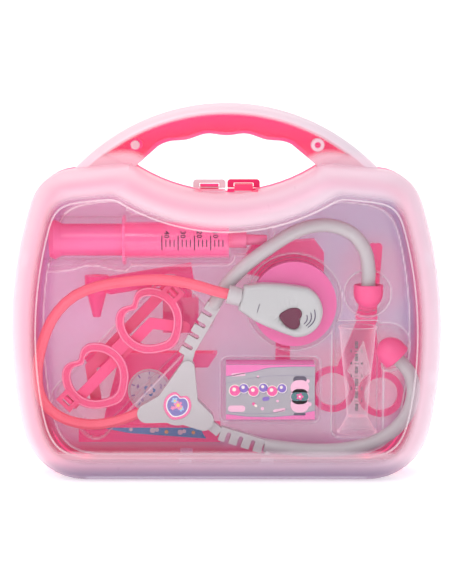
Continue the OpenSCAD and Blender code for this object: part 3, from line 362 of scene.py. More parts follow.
# The pink mouldings carry a painted glow in their emission.
behind_pink = plastic("behind_pink", "#f5137a", "#fa3088", rough=0.35, painted_glow_strength=0.22)
behind_white = plastic("behind_white", "#f2e9ee", "#fbf6f8", rough=0.35)
for name in ("otoscope_handle", "otoscope_head", "otoscope_speculum", "otoscope_switch", "scissor_arm_a",
             "scissor_arm_b", "scissor_pin", "hammer_handle", "hammer_head", "scale_body", "scale_pan",
             "scale_label", "bottle_cap"):
    dress(name, behind_pink)
for name in ("scale_dial", "scale_needle"):
    dress(name, behind_white)
# The pill bottle carries a fainter painted glow in its emission.
dress("pill_bottle", plastic("bottle_pink", "#f2307f", "#f84c92", rough=0.15, coat=0.4, painted_glow_strength=0.15))

# ---------------------------------------------------------------- Tray
# One sheet of clear PVC, vacuum-formed over a mould, with a rounded pocket for each toy in front. Painted
# white highlights, with a painted glow, run along its draft and thin drawn corners, and along the trimmed
# lip at the bottom lies a painted pink glint, a reflection of the shell round it, with a painted glow.

TRAY_FACE, TRAY_BORDER, TRAY_SKIRT = -0.0035, 0.0030, 0.0120
TRAY_IN, TRAY_LOW = 0.0030, 0.0103
WALL_RUN, ROUND = 0.0026, 0.0007
GLINT_DOWN, GLINT_WIDE, GLINT_LOW, GLINT_FADE = 0.0012, 0.0007, 0.034, 0.012
TRAY_PITCH, TRAY_LEFT, TRAY_FOOT, TRAY_WIDE, TRAY_HIGH = 0.001, -0.134, 0.0085, 0.268, 0.190
TRAY_MARKS = ("painted_highlight", "veil", "pink_glint")


def soft_min(a, b, k):
    h = max(k - abs(a - b), 0) / k
    return min(a, b) - h * h * h * k / 6


def outline_gap(x, z, side_in, low_in, top_in, dip_in, corner=0.050):
    """How far a point lies inside the case's outline, each stretch of it drawn in by its own amount."""
    x = abs(x)
    (sx, sz), side_r = CASE_SIDE
    (dx, dz), dip_r = CASE_DIP
    dip = math.hypot(x - dx, z - dz) - dip_r - dip_in
    side = side_r - math.hypot(x - sx, z - sz) - side_in
    top = -((x - CASE_TOP_POINT[0]) * math.cos(CASE_TOP_TILT)
            + (z - CASE_TOP_POINT[1]) * math.sin(CASE_TOP_TILT)) - top_in
    return soft_min(soft_min(soft_min(side, z - low_in, corner), top, corner * 0.7), dip, 0.005)


def tray_room(x, z):
    """How far a point lies inside the sheet's trimmed edge."""
    return min(outline_gap(x, z, TRAY_IN, TRAY_IN, TRAY_IN, TRAY_IN), z - TRAY_LOW)


def plateau_gap(x, z):
    """How far a point lies inside the raised face."""
    return outline_gap(x, z, side_in=0.016, low_in=0.0105, top_in=0.0205, dip_in=0.0225, corner=0.034)


def box_gap(x, z, left, right, low, high, r):
    """Distance outside a round-cornered rectangle, negative within it."""
    gx = abs(x - (left + right) / 2) - (right - left) / 2 + r
    gz = abs(z - (low + high) / 2) - (high - low) / 2 + r
    return math.hypot(max(gx, 0), max(gz, 0)) + min(max(gx, gz), 0) - r


def disc_gap(x, z, cx, cz, r):
    return math.hypot(x - cx, z - cz) - r


GLASSES_AT, GLASSES_TURN = (-0.0673, 0.0834), math.radians(46)


def glasses_gap(x, z):
    px, pz = x - GLASSES_AT[0], z - GLASSES_AT[1]
    c, s = math.cos(GLASSES_TURN), math.sin(GLASSES_TURN)
    return box_gap(px * c + pz * s, pz * c - px * s, -0.054, 0.054, -0.030, 0.009, 0.006)


def syringe_bay_gap(x, z):
    """The wide shelf round the syringe, which runs out to the tray's raised edge."""
    shelf_foot = 0.1335 + 0.004 * math.exp(-((x + 0.085) / 0.012) ** 2)
    return max(-plateau_gap(x, z) + 0.0015, shelf_foot - z, x + 0.0655)


# The floor and outline of each pocket: syringe with its flange and nozzle,
# chest piece, two ear cups, glasses, carton, cylinder and the syringe's shelf.
TRAY_WELLS = [
    (0.0119, lambda x, z: box_gap(x, z, -0.1185, 0.0026, 0.1376, 0.1644, 0.003)),
    (0.0119, lambda x, z: box_gap(x, z, -0.0664, -0.0626, 0.1349, 0.1671, 0.001)),
    (0.0119, lambda x, z: box_gap(x, z, 0.0016, 0.0271, 0.14375, 0.15825, 0.002)),
    (0.0013, lambda x, z: disc_gap(x, z, 0.0425, 0.1115, 0.0282)),
    (0.0013, lambda x, z: disc_gap(x, z, 0.0894, 0.1170, 0.0123)),
    (0.0013, lambda x, z: disc_gap(x, z, 0.1018, 0.0829, 0.0128)),
    (0.0146, glasses_gap),
    (0.0073, lambda x, z: box_gap(x, z, -0.0013, 0.0569, 0.0367, 0.0740, 0.002)),
    (0.0112, lambda x, z: box_gap(x, z, 0.0697, 0.0971, 0.0267, 0.0970, 0.003)),
    (0.0020, syringe_bay_gap),
]


def ease(t):
    t = min(max(t, 0.0), 1.0)
    return t * t * (3 - 2 * t)


def swell(distance, width):
    """1 on a line and falling off smoothly beside it."""
    return math.exp(-(distance / width) ** 2)


def tray_depth(x, z):
    """Depth of the formed sheet, the strength of its painted highlights, how cloudy it is, and the painted
    pink glint below its step.
    """
    edge = plateau_gap(x, z)
    step_highlight = swell(edge - WALL_RUN, ROUND)
    veil = 0.15 + 0.85 * ease(edge / WALL_RUN)
    pink_glint = swell(edge + GLINT_DOWN, GLINT_WIDE) * ease((GLINT_LOW - z) / GLINT_FADE)
    depth = TRAY_BORDER + (TRAY_FACE - TRAY_BORDER) * ease(edge / WALL_RUN)
    painted_highlight = 0.9 * step_highlight
    for floor, gap in TRAY_WELLS:
        g = gap(x, z)
        down = TRAY_FACE + (floor - TRAY_FACE) * (1 - ease(g / WALL_RUN))
        if down > depth + 1e-6:
            depth = down
            painted_highlight = 0.0
        if abs(down - depth) < 0.0012 or g > 0:
            painted_highlight = max(painted_highlight, 0.75 * swell(g - WALL_RUN, ROUND) * (depth < down + 0.002))
        painted_highlight = max(painted_highlight, 0.35 * swell(g, ROUND) * (abs(down - depth) < 0.004))
    return depth, max(painted_highlight, step_highlight), veil, pink_glint


def onto_trim(x, z, nudge=1e-5):
    """Brings a point just outside the trimmed edge onto it."""
    for _ in range(3):
        here = tray_room(x, z)
        gx, gz = (tray_room(x + nudge, z) - here) / nudge, (tray_room(x, z + nudge) - here) / nudge
        size = max(gx * gx + gz * gz, 0.1)
        x, z = x - here * gx / size, z - here * gz / size
    return x, z


def formed_tray():
    """The sheet as a fine relief, trimmed to the case's outline and turned back along its rim."""
    verts, faces, marks, index = [], [], {label: [] for label in TRAY_MARKS}, {}
    for j in range(int(TRAY_HIGH / TRAY_PITCH) + 1):
        for i in range(int(TRAY_WIDE / TRAY_PITCH) + 1):
            x, z = TRAY_LEFT + i * TRAY_PITCH, TRAY_FOOT + j * TRAY_PITCH
            room = tray_room(x, z)
            if room < -1.5 * TRAY_PITCH:
                continue
            if room < 0:
                x, z = onto_trim(x, z)
            depth, *strengths = tray_depth(x, z)
            index[(i, j)] = len(verts)
            verts.append((x, depth, z))
            for label, strength in zip(TRAY_MARKS, strengths):
                marks[label].append(strength)
    for (i, j) in index:
        corners = [(i, j), (i + 1, j), (i + 1, j + 1), (i, j + 1)]
        if all(c in index for c in corners):
            faces.append([index[c] for c in corners])
    made = piece_from("formed_tray", verts, faces)
    for label, values in marks.items():
        made.data.attributes.new(label, "FLOAT", "POINT").data.foreach_set("value", values)
    shape = bmesh.new()
    shape.from_mesh(made.data)
    bmesh.ops.delete(shape, geom=[v for v in shape.verts if not v.link_faces], context="VERTS")
    fold = bmesh.ops.extrude_edge_only(shape, edges=[e for e in shape.edges if e.is_boundary])
    for v in fold["geom"]:
        if isinstance(v, bmesh.types.BMVert):
            v.co.y = TRAY_SKIRT
    shape.to_mesh(made.data)
    shape.free()
    made.data.shade_smooth()
    return made


tray = formed_tray()
tray_clear = plastic("tray_clear", "#f4dcea", "#ffffff", rough=0.14, coat=0.6, flow_scale=14)
film = tray_clear.node_tree
slant = of_case(film)[-1]
# The sheet's tint is painted light: pink towards the upper left, lavender towards the lower right.
painted_light_tint = blend_of(film, ramp_of(film, slant, -0.20, 0.0), "#f4a0d4", "#c9bfe4")
painted_highlight, veil, pink_glint = [
    add_node(film, "ShaderNodeAttribute", attribute_name=label).outputs["Fac"] for label in TRAY_MARKS]
fill(film, film.nodes["Principled BSDF"], {"Base Color": painted_light_tint, "Emission Strength": 1.0})
# Painted white highlights, with a painted glow, run along the steps and pocket rims.
tone_over(film, painted_highlight, "#ffffff")
# A painted pink glint, a reflection of the shell, with a painted glow, lies below the step at the bottom.
tone_over(film, pink_glint, "#ff2f7c")
tone_over(film, pink_glint, "#e8246c", "Emission Color")
tone_over(film, painted_highlight, "#484048", "Emission Color")
seen = reckon(film, "MULTIPLY_ADD", painted_highlight, 0.62, ramp_of(film, veil, 0.0, 1.0, 0.02, 0.15))
seen = reckon(film, "MINIMUM", reckon(film, "MULTIPLY_ADD", pink_glint, 0.8, seen), 0.95)
fill(film, film.nodes["Principled BSDF"], {"Alpha": seen})
tray.data.materials.append(tray_clear)
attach(tray, "case")
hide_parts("tray")

# ---------------------------------------------------------------- Syringe
# A clear pink styrene barrel over a pink plunger, with a soft nozzle pushed
# into its end. The marks and numbers are pad-printed in one dark ink.

# The barrel carries a painted glow in its emission.
dress("syringe_barrel", plastic("syringe_clear", "#f868a4", "#fb7cb2", rough=0.12, rub=0.05, coat=0.6,
                                alpha=0.46, painted_glow_strength=0.28))
dress("syringe_plunger", plastic("plunger_pink", "#fb62a2", "#fc74ae", rough=0.3), bevel=0.0004)
dress("syringe_nozzle", plastic("nozzle_pink", "#ff79ab", "#ff8cb8", rough=0.3), bevel=0.0003)


def skin_of(name):
    """The depth at which a straight look from the front first meets this CAD node."""
    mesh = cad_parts[name].data
    mesh.calc_loop_triangles()
    faces = [tuple(t.vertices) for t in mesh.loop_triangles]
    tree = BVHTree.FromPolygons([v.co for v in mesh.vertices], faces)

    def depth(x, z):
        spot = tree.ray_cast(Vector((x, -0.2, z)), Vector((0, 1, 0)))[0]
        return spot.y if spot else None

    return depth


def turned(points, angle, at):
    c, s = math.cos(angle), math.sin(angle)
    return [Vector((p[0] * c - p[1] * s + at[0], p[0] * s + p[1] * c + at[1])) for p in points]


def bar(x0, z0, x1, z1, width, parts=6, bow=0.0):
    """A printed stroke between two points, straight or bowed, as outline pieces (points, faces)."""
    start, run = Vector((x0, z0)), Vector((x1 - x0, z1 - z0))
    side = Vector((-run.y, run.x)).normalized()
    points = []
    for i in range(parts + 1):
        t = i / parts
        middle = start + run * t + side * bow * math.sin(math.pi * t)
        points += [middle - side * width / 2, middle + side * width / 2]
    return points, strip_faces(parts)


def figures(text, size, x, z, turn=0.0):
    """Numbers as flat pieces, centred on a place and turned by an angle in degrees."""
    curve = bpy.data.curves.new("figures", "FONT")
    curve.body, curve.size, curve.align_x, curve.align_y = text, size, "CENTER", "CENTER"
    curve.resolution_u, curve.offset = 2, size * 0.015
    letters = bpy.data.objects.new("figures", curve)
    mesh = bpy.data.meshes.new_from_object(letters)
    points = turned([v.co for v in mesh.vertices], math.radians(turn), (x, z))
    faces = [tuple(p.vertices) for p in mesh.polygons]
    bpy.data.objects.remove(letters)
    bpy.data.meshes.remove(mesh)
    bpy.data.curves.remove(curve)
    return points, faces


def print_on(name, body, depth, inks, lift=0.00008):
    """A printed film of inks (material, layer, shapes), laid on the surface that depth(x, z) gives."""
    verts, faces, marks = [], [], []
    for number, (material, layer, shapes) in enumerate(inks):
        for points, rings in shapes:
            first = len(verts)
            found = [depth(p[0], p[1]) for p in points]
            known = [d for d in found if d is not None]
            verts += [(p[0], (known[0] if d is None else d) - lift * (1 + layer), p[1])
                      for p, d in zip(points, found)]
            faces += [tuple(first + i for i in ring) for ring in rings]
            marks += [number] * len(rings)
    made = piece_from(name, verts, faces, smooth=False)
    for material, layer, shapes in inks:
        made.data.materials.append(material)
    for polygon, mark in zip(made.data.polygons, marks):
        polygon.material_index = mark
    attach(made, body)


def ink(name, colour, worn):
    return plastic(name, colour, worn, rough=0.45, rub=0.3, flow_scale=600)


MARK_START, MARK_STEP, SMALL_STEP = -0.0405, 0.0102, 0.00256
strokes = []
for n in range(4):
    x = MARK_START + n * MARK_STEP
    strokes.append(bar(x, 0.1452, x, 0.1545, 0.00062, 8))
    strokes.append(figures(str(40 - 10 * n), 0.0046, x + 0.0029, 0.1552, -90))
    for k in (1, 2, 3):
        strokes.append(bar(x + k * SMALL_STEP, 0.1474, x + k * SMALL_STEP, 0.1520, 0.0006))
print_on("syringe_marks", "case", skin_of("syringe_barrel"), [
    (ink("dark_ink", "#2c1232", "#452446"), 0, strokes)])

# ---------------------------------------------------------------- Stethoscope
# Two white moulded arms with snap combs in a three-way yoke, pink soft tips,
# a coral sound tube, and a chest piece whose heart button lights and beeps.
# The yoke carries a glossy heart sticker, the chest piece a dark print.

arm_white = plastic("arm_white", "#bfb9bd", "#c9c4c8", rough=0.36, rub=0.15)
for name, soft in (("stethoscope_yoke", 0.0014), ("upper_arm", 0.0005), ("lower_arm", 0.0005)):
    dress(name, arm_white, bevel=soft)


def ring_faces(rings, count):
    """The faces between closed rings of as many points each."""
    faces = []
    for first in range(0, (rings - 1) * count, count):
        for k in range(count):
            after = (k + 1) % count
            faces.append((first + k, first + after, first + count + after, first + count + k))
    return faces


def swept(line, steps, place):
    """A line of (radius, height) turned round its axis; place(aside, back, height) puts its points."""
    turns = [2 * math.pi * k / steps for k in range(steps)]
    return [place(r * math.cos(a), r * math.sin(a), h) for r, h in line for a in turns]


tip_pink = plastic("tip_pink", "#f84c8c", "#fb629b", rough=0.48, rub=0.2)
TIP_R, TIP_MOUTH, TIP_DOME, TIP_STEPS, ARM_LEVEL = 0.0093, 0.0030, 0.0100, 56, -0.0088
TIP_LINE = [(TIP_R * math.cos(math.radians(d)), -0.0020 - TIP_DOME * math.sin(math.radians(d)))
            for d in range(88, -1, -8)]
TIP_LINE += [(TIP_R, 0.0004), (TIP_R, 0.0022), (0.0092, 0.0027), (0.0089, TIP_MOUTH), (0.0082, 0.0031),
             (0.0077, 0.0029), (0.0075, 0.0024), (0.0074, 0.0010), (0.0070, 0.0007), (0.0046, 0.0006)]
for name, (tip_x, tip_z), (run_x, run_z) in (
        ("upper", (0.0894, 0.1202), (0.0, 1.0)), ("lower", (0.1060, 0.0786), (0.684, -0.730))):
    verts = swept(TIP_LINE, TIP_STEPS, lambda aside, back, h: (
        tip_x + run_x * h + run_z * aside, ARM_LEVEL + back, tip_z + run_z * h - run_x * aside))
    faces = ring_faces(len(TIP_LINE), TIP_STEPS) + [range(TIP_STEPS)]
    ear_cup = piece_from(f"{name}_ear_cup", verts, faces)
    ear_cup.data.materials.append(tip_pink)
    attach(ear_cup, "case")
    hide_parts(f"{name}_ear_tip")
dress("sound_tube", plastic("tube_coral", "#ff5f7b", "#ff728b", rough=0.42, rub=0.2))
dress("tube_collar", arm_white, bevel=0.0004)
base_orchid = plastic("base_orchid", "#e4559c", "#ec6aaa", rough=0.26, rub=0.08, coat=0.3)
dress("chest_base", base_orchid)
for name in ("chest_back", "battery_door"):
    dress(name, base_orchid, bevel=0.0003)

BODY_AT, BODY_TURN = (0.0440, 0.1078), math.radians(-14)
BODY_FRONT, BODY_BACK, BODY_ROUND = -0.0245, -0.0140, 0.0034
BODY_R, BODY_WAIST, BODY_NECK = 0.0162, (-0.025, 0.0120), (-0.036, 0.0078)
HEART_AT, HEART_TURN, HEART_R, HEART_ROOM = (-0.0027, -0.0044), math.radians(-87), 0.0073, 0.0002
KEY_FRONT, KEY_BACK, KEY_ROUND = -0.0253, -0.0216, 0.0009
SLOT_DEPTH = 0.003


def round_line(reach, count=72, at=(0.0, 0.0)):
    """A closed outline round a place; reach(a) is how far out it runs at an angle in degrees."""
    line = []
    for i in range(count):
        a = 360 * i / count
        way = math.radians(a)
        line.append(Vector((at[0] + reach(a) * math.cos(way), at[1] + reach(a) * math.sin(way))))
    return line


def from_top(a):
    return min(abs(a - 90), 450 - a)


def heart_line(r, notch=0.0065 / 0.0212, tip=0.002 / 0.0212):
    """A round heart: a circle drawn in at the top and out at the bottom."""
    return round_line(lambda a: r * (1 - notch * swell(from_top(a), 19) + tip * swell(a - 270, 20)))


def key_heart(r):
    """The heart of the button: full lobes, a deep notch and a drawn-out tip."""
    return round_line(lambda a: r * (0.80 + 0.22 * swell(a - 270, 24) + 0.235 * swell(from_top(a) - 52, 34)
                                     - 0.13 * swell(from_top(a), 15)))


def body_line(d, half=48):
    """The chest body's outline, drawn in by d: a round end that tapers to the tube's neck."""
    lean = math.acos((BODY_R - BODY_WAIST[1]) / abs(BODY_WAIST[0]) * 0.9)
    points = [Vector(((BODY_R - d) * math.cos(lean * i / half), (BODY_R - d) * math.sin(lean * i / half)))
              for i in range(half + 1)]
    start, waist = points[-1], Vector((BODY_WAIST[0], BODY_WAIST[1] - d))
    neck = Vector((BODY_NECK[0] + d * 0.6, BODY_NECK[1] - d * 0.9))
    for i in range(1, 9):
        points.append(start.lerp(waist, i / 8) + Vector((0, 0.0006 * math.sin(math.pi * i / 8))))
    points += [waist.lerp(neck, i / 4) for i in range(1, 5)]
    return points + [Vector((p.x, -p.y)) for p in reversed(points[1:])]


def rounded_slab(name, line, place, front, back, curve, hole=None, steps=6):
    """A moulded cap: side wall, rounded shoulder and flat front, with an opening in the front if wanted."""
    rings = [(back, 0.0)]
    for i in range(steps + 1):
        a = math.pi / 2 * i / steps
        rings.append((front + curve - curve * math.sin(a), curve - curve * math.cos(a)))
    n = len(line(0))
    shape = bmesh.new()
    for y, d in rings:
        for p in place(line(d)):
            shape.verts.new((p[0], y, p[1]))
    shape.verts.ensure_lookup_table()
    for face in ring_faces(len(rings), n):
        shape.faces.new([shape.verts[i] for i in face])
    last = shape.verts[-n:]
    loops = [shape.edges.get((last[k], last[(k + 1) % n])) for k in range(n)]
    if hole:
        inner = [shape.verts.new((p[0], front, p[1])) for p in hole]
        deep = [shape.verts.new((p[0], front + SLOT_DEPTH, p[1])) for p in hole]
        h = len(inner)
        loops += [shape.edges.new((inner[k], inner[(k + 1) % h])) for k in range(h)]
        for k in range(h):
            m = (k + 1) % h
            shape.faces.new((inner[k], inner[m], deep[m], deep[k]))
    bmesh.ops.triangle_fill(shape, edges=loops, use_beauty=True)
    bmesh.ops.recalc_face_normals(shape, faces=shape.faces)
    made = piece_from(name, [], [])
    shape.to_mesh(made.data)
    shape.free()
    made.data.shade_smooth()
    made.modifiers.new("even", "WEIGHTED_NORMAL").weight = 100
    return made


def on_chest(points):
    return turned(points, BODY_TURN, BODY_AT)


def in_heart(points):
    return on_chest(turned(points, HEART_TURN, HEART_AT))


chest_cap = rounded_slab("chest_cap", body_line, on_chest, BODY_FRONT, BODY_BACK, BODY_ROUND,
                         in_heart(key_heart(HEART_R + HEART_ROOM)))
chest_cap.data.materials.append(plastic("chest_white", "#bab9bc", "#c4c4c6", rough=0.3, rub=0.12, coat=0.2))
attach(chest_cap, "case")
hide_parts("chest_body")

heart_key = rounded_slab("heart_key", lambda d: key_heart(HEART_R - d), in_heart, KEY_FRONT, KEY_BACK,
                         KEY_ROUND)
heart_key.data.materials.append(plastic("button_plum", "#5c0a34", "#6e1640", rough=0.4, rub=0.1))
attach(heart_key, "button")
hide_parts("heart_button")

print_on("sound_marks", "case", lambda x, z: BODY_FRONT, [(ink("plum_ink", "#3c2a4c", "#54406a"), 0, [
    bar(0.0501, 0.1061, 0.0483, 0.1004, 0.0007, 10, 0.0010),
    bar(0.0525, 0.1076, 0.0496, 0.0992, 0.0007, 10, 0.0016),
    bar(0.0548, 0.1095, 0.0508, 0.0982, 0.0007, 10, 0.0022),
    bar(0.0206, 0.1130, 0.0190, 0.1074, 0.00035, 10)])])

# Inside the chest piece: cells, contacts, a small board, a lamp, a dome
# switch and a sounder, held by the back plate and its battery door.

cell_steel = plastic("cell_steel", "#b9bcc2", "#cfd2d6", rough=0.25, rub=0.2)
contact_brass = plastic("contact_brass", "#c8a24a", "#d8b866", rough=0.3)
for metal in (cell_steel, contact_brass):
    metal.node_tree.nodes["Principled BSDF"].inputs["Metallic"].default_value = 1.0
for name, finish in (
        ("battery_screw", cell_steel), ("button_cells", cell_steel), ("battery_contacts", contact_brass),
        ("circuit_board", plastic("board_green", "#1f7a4a", "#2a8a55", rough=0.45, flow_scale=300)),
        ("dome_switch", plastic("switch_black", "#26232a", "#35313a", rough=0.5)),
        ("heart_light", plastic("light_red", "#f03a3a", "#ff5a4c", rough=0.15, alpha=0.85)),
        ("sounder", plastic("sounder_black", "#1d1c20", "#2c2a30", rough=0.6)),
        ("leads", plastic("lead_red", "#c52a34", "#d63a42", rough=0.5)),
        ("yoke_sticker", plastic("sticker_pink", "#f25e9e", "#f87fb2", rough=0.2, rub=0.1, coat=0.8))):
    dress(name, finish)

STICKER_AT, STICKER_TURN = (-0.031, 0.047), math.radians(-20)


def petals(cx, cz, reach, count, waist=0.55, steps=60):
    """A round flower outline as one face."""
    line = round_line(lambda a: reach * (waist + (1 - waist) * abs(math.cos(math.radians(count * a / 2)))),
                      steps, (cx, cz))
    return line, [range(steps)]


def disc(cx, cz, r, steps=24):
    return petals(cx, cz, r, 1, 1.0, steps)


def on_sticker(*shapes):
    return [(turned(points, STICKER_TURN, STICKER_AT), faces) for points, faces in shapes]


def heart_face(r):
    line = heart_line(r)
    return line, [range(len(line))]


print_on("sticker_print", "case", skin_of("yoke_sticker"), [
    (ink("sticker_white", "#f6e9f3", "#ffffff"), 0, on_sticker(heart_face(0.0072))),
    (ink("sticker_violet", "#7a74b8", "#8f86c8"), 1, on_sticker(heart_face(0.0065))),
    (ink("sticker_sky", "#9cc8ee", "#b4d8f6"), 2, on_sticker(
        petals(-0.0026, 0.0022, 0.0022, 5), petals(0.0028, -0.0012, 0.0020, 5))),
    (ink("sticker_rose", "#f283b4", "#f89cc4"), 3, on_sticker(
        petals(0.0004, 0.0002, 0.0030, 6), petals(-0.0022, -0.0026, 0.0015, 5))),
    (ink("sticker_yolk", "#f5cf6a", "#f8dc8c"), 4, on_sticker(
        disc(0.0004, 0.0002, 0.0011), disc(-0.0026, 0.0022, 0.0007), disc(0.0028, -0.0012, 0.0006))),
], lift=0.00003)

# ---------------------------------------------------------------- Glasses
# Lensless toy glasses with heart rims, moulded in pink polypropylene. Each
# rim has a raised bead along both edges. The temples are separate pieces,
# snapped onto pins in the frame's corner blocks and folded behind it.

dress("glasses_frame", plastic("glasses_pink", "#f0427f", "#f4568c", rough=0.25), bevel=0.0005)
# The temples carry a faint painted glow in their emission.
temple_pink = plastic("temple_pink", "#ee3c7c", "#f4528c", rough=0.3, painted_glow_strength=0.08)
for name in ("left_temple", "right_temple"):
    dress(name, temple_pink, bevel=0.0004)

FRAME_FRONT, RIM_OUT, RIM_DOWN, BEAD_R = -0.0066, 0.0247, 0.0015, 0.0006
bead_pink = plastic("bead_pink", "#fb7aa6", "#fd8cb4", rough=0.22)
for side, label in ((-1, "left"), (1, "right")):
    for reach, place in ((0.0206, "outer"), (0.0163, "inner")):
        line = [p + Vector((side * RIM_OUT, -RIM_DOWN)) for p in heart_line(reach)]
        bead = bpy.data.curves.new("rim_bead", "CURVE")
        bead.dimensions, bead.bevel_depth, bead.bevel_resolution = "3D", BEAD_R, 2
        run = bead.splines.new("POLY")
        run.points.add(len(line) - 1)
        run.use_cyclic_u = True
        for spot, p in zip(run.points, turned(line, GLASSES_TURN, GLASSES_AT)):
            spot.co = (p.x, FRAME_FRONT + 0.0001, p.y, 1)
        rim_bead = bpy.data.objects.new(f"{label}_{place}_rim_bead", bead)
        bpy.context.scene.collection.objects.link(rim_bead)
        bead.materials.append(bead_pink)
        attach(rim_bead, "case")

# ---------------------------------------------------------------- Carton
# A folded carton of white-lined board, printed in pinks and greys with
# plain motifs: swooping bands, a row of round sweets, a flower and a jar.

carton_card = plastic("carton_card", "#aba6af", "#b5b0b9", rough=0.55, rub=0.15, flow_scale=120, skin=0.05)
dress("medicine_carton", carton_card, bevel=0.0004)
CARTON_LOW, CARTON_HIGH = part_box("medicine_carton")
CARTON_W, CARTON_H = CARTON_HIGH.x - CARTON_LOW.x, CARTON_HIGH.z - CARTON_LOW.z
card = carton_card.node_tree
back = place_in(card)["Y"]
folded = ramp_of(card, back, CARTON_LOW.y + 0.0004, CARTON_LOW.y + 0.0008)
# The sides are printed pink; their emission is a painted glow that lifts their shade.
fill(card, card.nodes["Principled BSDF"], {"Emission Strength": 1.0})
tone_over(card, folded, "#f08cc8")
tone_over(card, folded, "#50203c", "Emission Color")


def on_panel(u, v):
    """A place on the carton's front, as shares of its width and height from its upper left corner."""
    return Vector((CARTON_LOW.x + u * CARTON_W, CARTON_HIGH.z - v * CARTON_H))


def height_on(line, t):
    """A height read from a list of them at even steps, with soft bends between."""
    at = t * (len(line) - 1)
    i = min(int(at), len(line) - 2)
    return line[i] + (line[i + 1] - line[i]) * (ease(at - i) + at - i) / 2


def swoop(upper, lower, steps=24):
    """A band across the panel between two curves."""
    points = []
    for i in range(steps + 1):
        points += [on_panel(i / steps, height_on(line, i / steps)) for line in (upper, lower)]
    return points, strip_faces(steps)


def thread(line, width):
    return swoop(line, [h + width for h in line])


def sweet(u, v, r):
    return disc(*on_panel(u, v), r)


def lozenge(u, v, length, width, turn=0, steps=24):
    points = []
    for i in range(steps):
        t = 2 * math.pi * i / steps
        aside = math.cos(t) * width / 2 + math.copysign(length - width, math.cos(t)) / 2
        points.append((aside, math.sin(t) * width / 2))
    return turned(points, math.radians(turn), on_panel(u, v)), [range(steps)]


pink_ink, rose_ink = ink("pink_ink", "#ee6fb4", "#f486c2"), ink("rose_ink", "#f04f9c", "#f868ac")
grey_ink, violet_ink = ink("grey_ink", "#8d86a0", "#a49cb4"), ink("violet_ink", "#7e5fc0", "#9478d0")
blush_ink, teal_ink = ink("blush_ink", "#f6b6d6", "#fac8e0"), ink("teal_ink", "#3f6f74", "#52868a")
slate_ink, cream_ink = ink("slate_ink", "#4b4558", "#625b70"), ink("cream_ink", "#f6e6df", "#fbf1ec")
SWEETS = [(0.10, 0.47, 0.0036), (0.20, 0.43, 0.0030), (0.31, 0.48, 0.0034), (0.42, 0.42, 0.0029),
          (0.52, 0.48, 0.0034), (0.63, 0.43, 0.0029)]
JAR = (0.83, 0.58)
UPPER_EDGE = [0.21, 0.14, 0.05, 0.035, 0.035]
print_on("carton_print", "case", lambda x, z: CARTON_LOW.y, [
    (pink_ink, 0, [swoop([0.004] * 5, UPPER_EDGE), swoop([0.90, 0.945, 0.955, 0.925, 0.84], [0.996] * 5)]),
    (grey_ink, 1, [thread([0.33, 0.25, 0.20, 0.19, 0.21], 0.010), thread(UPPER_EDGE, 0.014),
                   thread([0.85, 0.89, 0.88, 0.79, 0.62], 0.010),
                   thread([0.89, 0.935, 0.945, 0.915, 0.83], 0.012)]),
    (blush_ink, 1, [lozenge(0.14, 0.18, 0.009, 0.0022, 4), lozenge(0.12, 0.80, 0.011, 0.0042),
                    lozenge(0.60, 0.83, 0.008, 0.0020, 8), sweet(0.41, 0.80, 0.0011),
                    sweet(0.36, 0.22, 0.0008), sweet(0.58, 0.66, 0.0009), sweet(0.92, 0.30, 0.0012),
                    sweet(0.94, 0.72, 0.0014)]),
    (grey_ink, 2, [sweet(u + 0.006, v + 0.012, r + 0.0005) for u, v, r in SWEETS]),
    (cream_ink, 3, [sweet(u, v, r + 0.0003) for u, v, r in SWEETS]),
    (rose_ink, 4, [sweet(u, v, r - 0.0002) for u, v, r in SWEETS[::2]]
     + [lozenge(0.312, 0.715, 0.0024, 0.0018, -40)]),
    (violet_ink, 4, [sweet(u, v, r - 0.0002) for u, v, r in SWEETS[1::2]]
     + [lozenge(0.45, 0.62, 0.0046, 0.0026, 10)]),
    (cream_ink, 5, [sweet(u - 0.008, v - 0.02, r * 0.35) for u, v, r in SWEETS]
     + [lozenge(0.335, 0.745, 0.0022, 0.0016, -40)]),
    (slate_ink, 4, [lozenge(0.83, 0.27, 0.0085, 0.0042), lozenge(0.83, 0.90, 0.0075, 0.0016)]),
    (blush_ink, 5, [lozenge(0.83, v, 0.0118, 0.0100) for v in (0.42, 0.58, 0.73)]),
    (teal_ink, 6, [lozenge(*JAR, 0.0112, 0.0056)]),
    (rose_ink, 7, [petals(*on_panel(*JAR), 0.0024, 5)]),
    (cream_ink, 8, [sweet(*JAR, 0.0007)]),
], lift=0.00003)

# The scale behind it has a paper label, printed blue with plain clouds and
# dots, and a round dial with ten plain divisions.

sky_ink, cloud_ink = ink("sky_ink", "#2b9fe4", "#4fb4ee"), ink("cloud_ink", "#e8f4fb", "#ffffff")
sun_ink = ink("sun_ink", "#f6c54a", "#f9d470")
LABEL_BLUE = ((-0.0820, 0.0268), (-0.0630, 0.0232), (-0.0400, 0.0215), (-0.0130, 0.0196),
              (-0.0150, 0.0225), (-0.0170, 0.0268))
print_on("scale_print", "case", skin_of("scale_label"), [
    (sky_ink, 0, [(LABEL_BLUE, [range(len(LABEL_BLUE))])]),
    (cloud_ink, 1, [disc(-0.0480, 0.0250, 0.0018), disc(-0.0452, 0.0254, 0.0014),
                    disc(-0.0300, 0.0238, 0.0017), disc(-0.0275, 0.0244, 0.0013),
                    disc(-0.0620, 0.0256, 0.0012)]),
    (sun_ink, 1, [disc(-0.0390, 0.0240, 0.0013), disc(-0.0215, 0.0236, 0.0012)]),
], lift=0.00004)

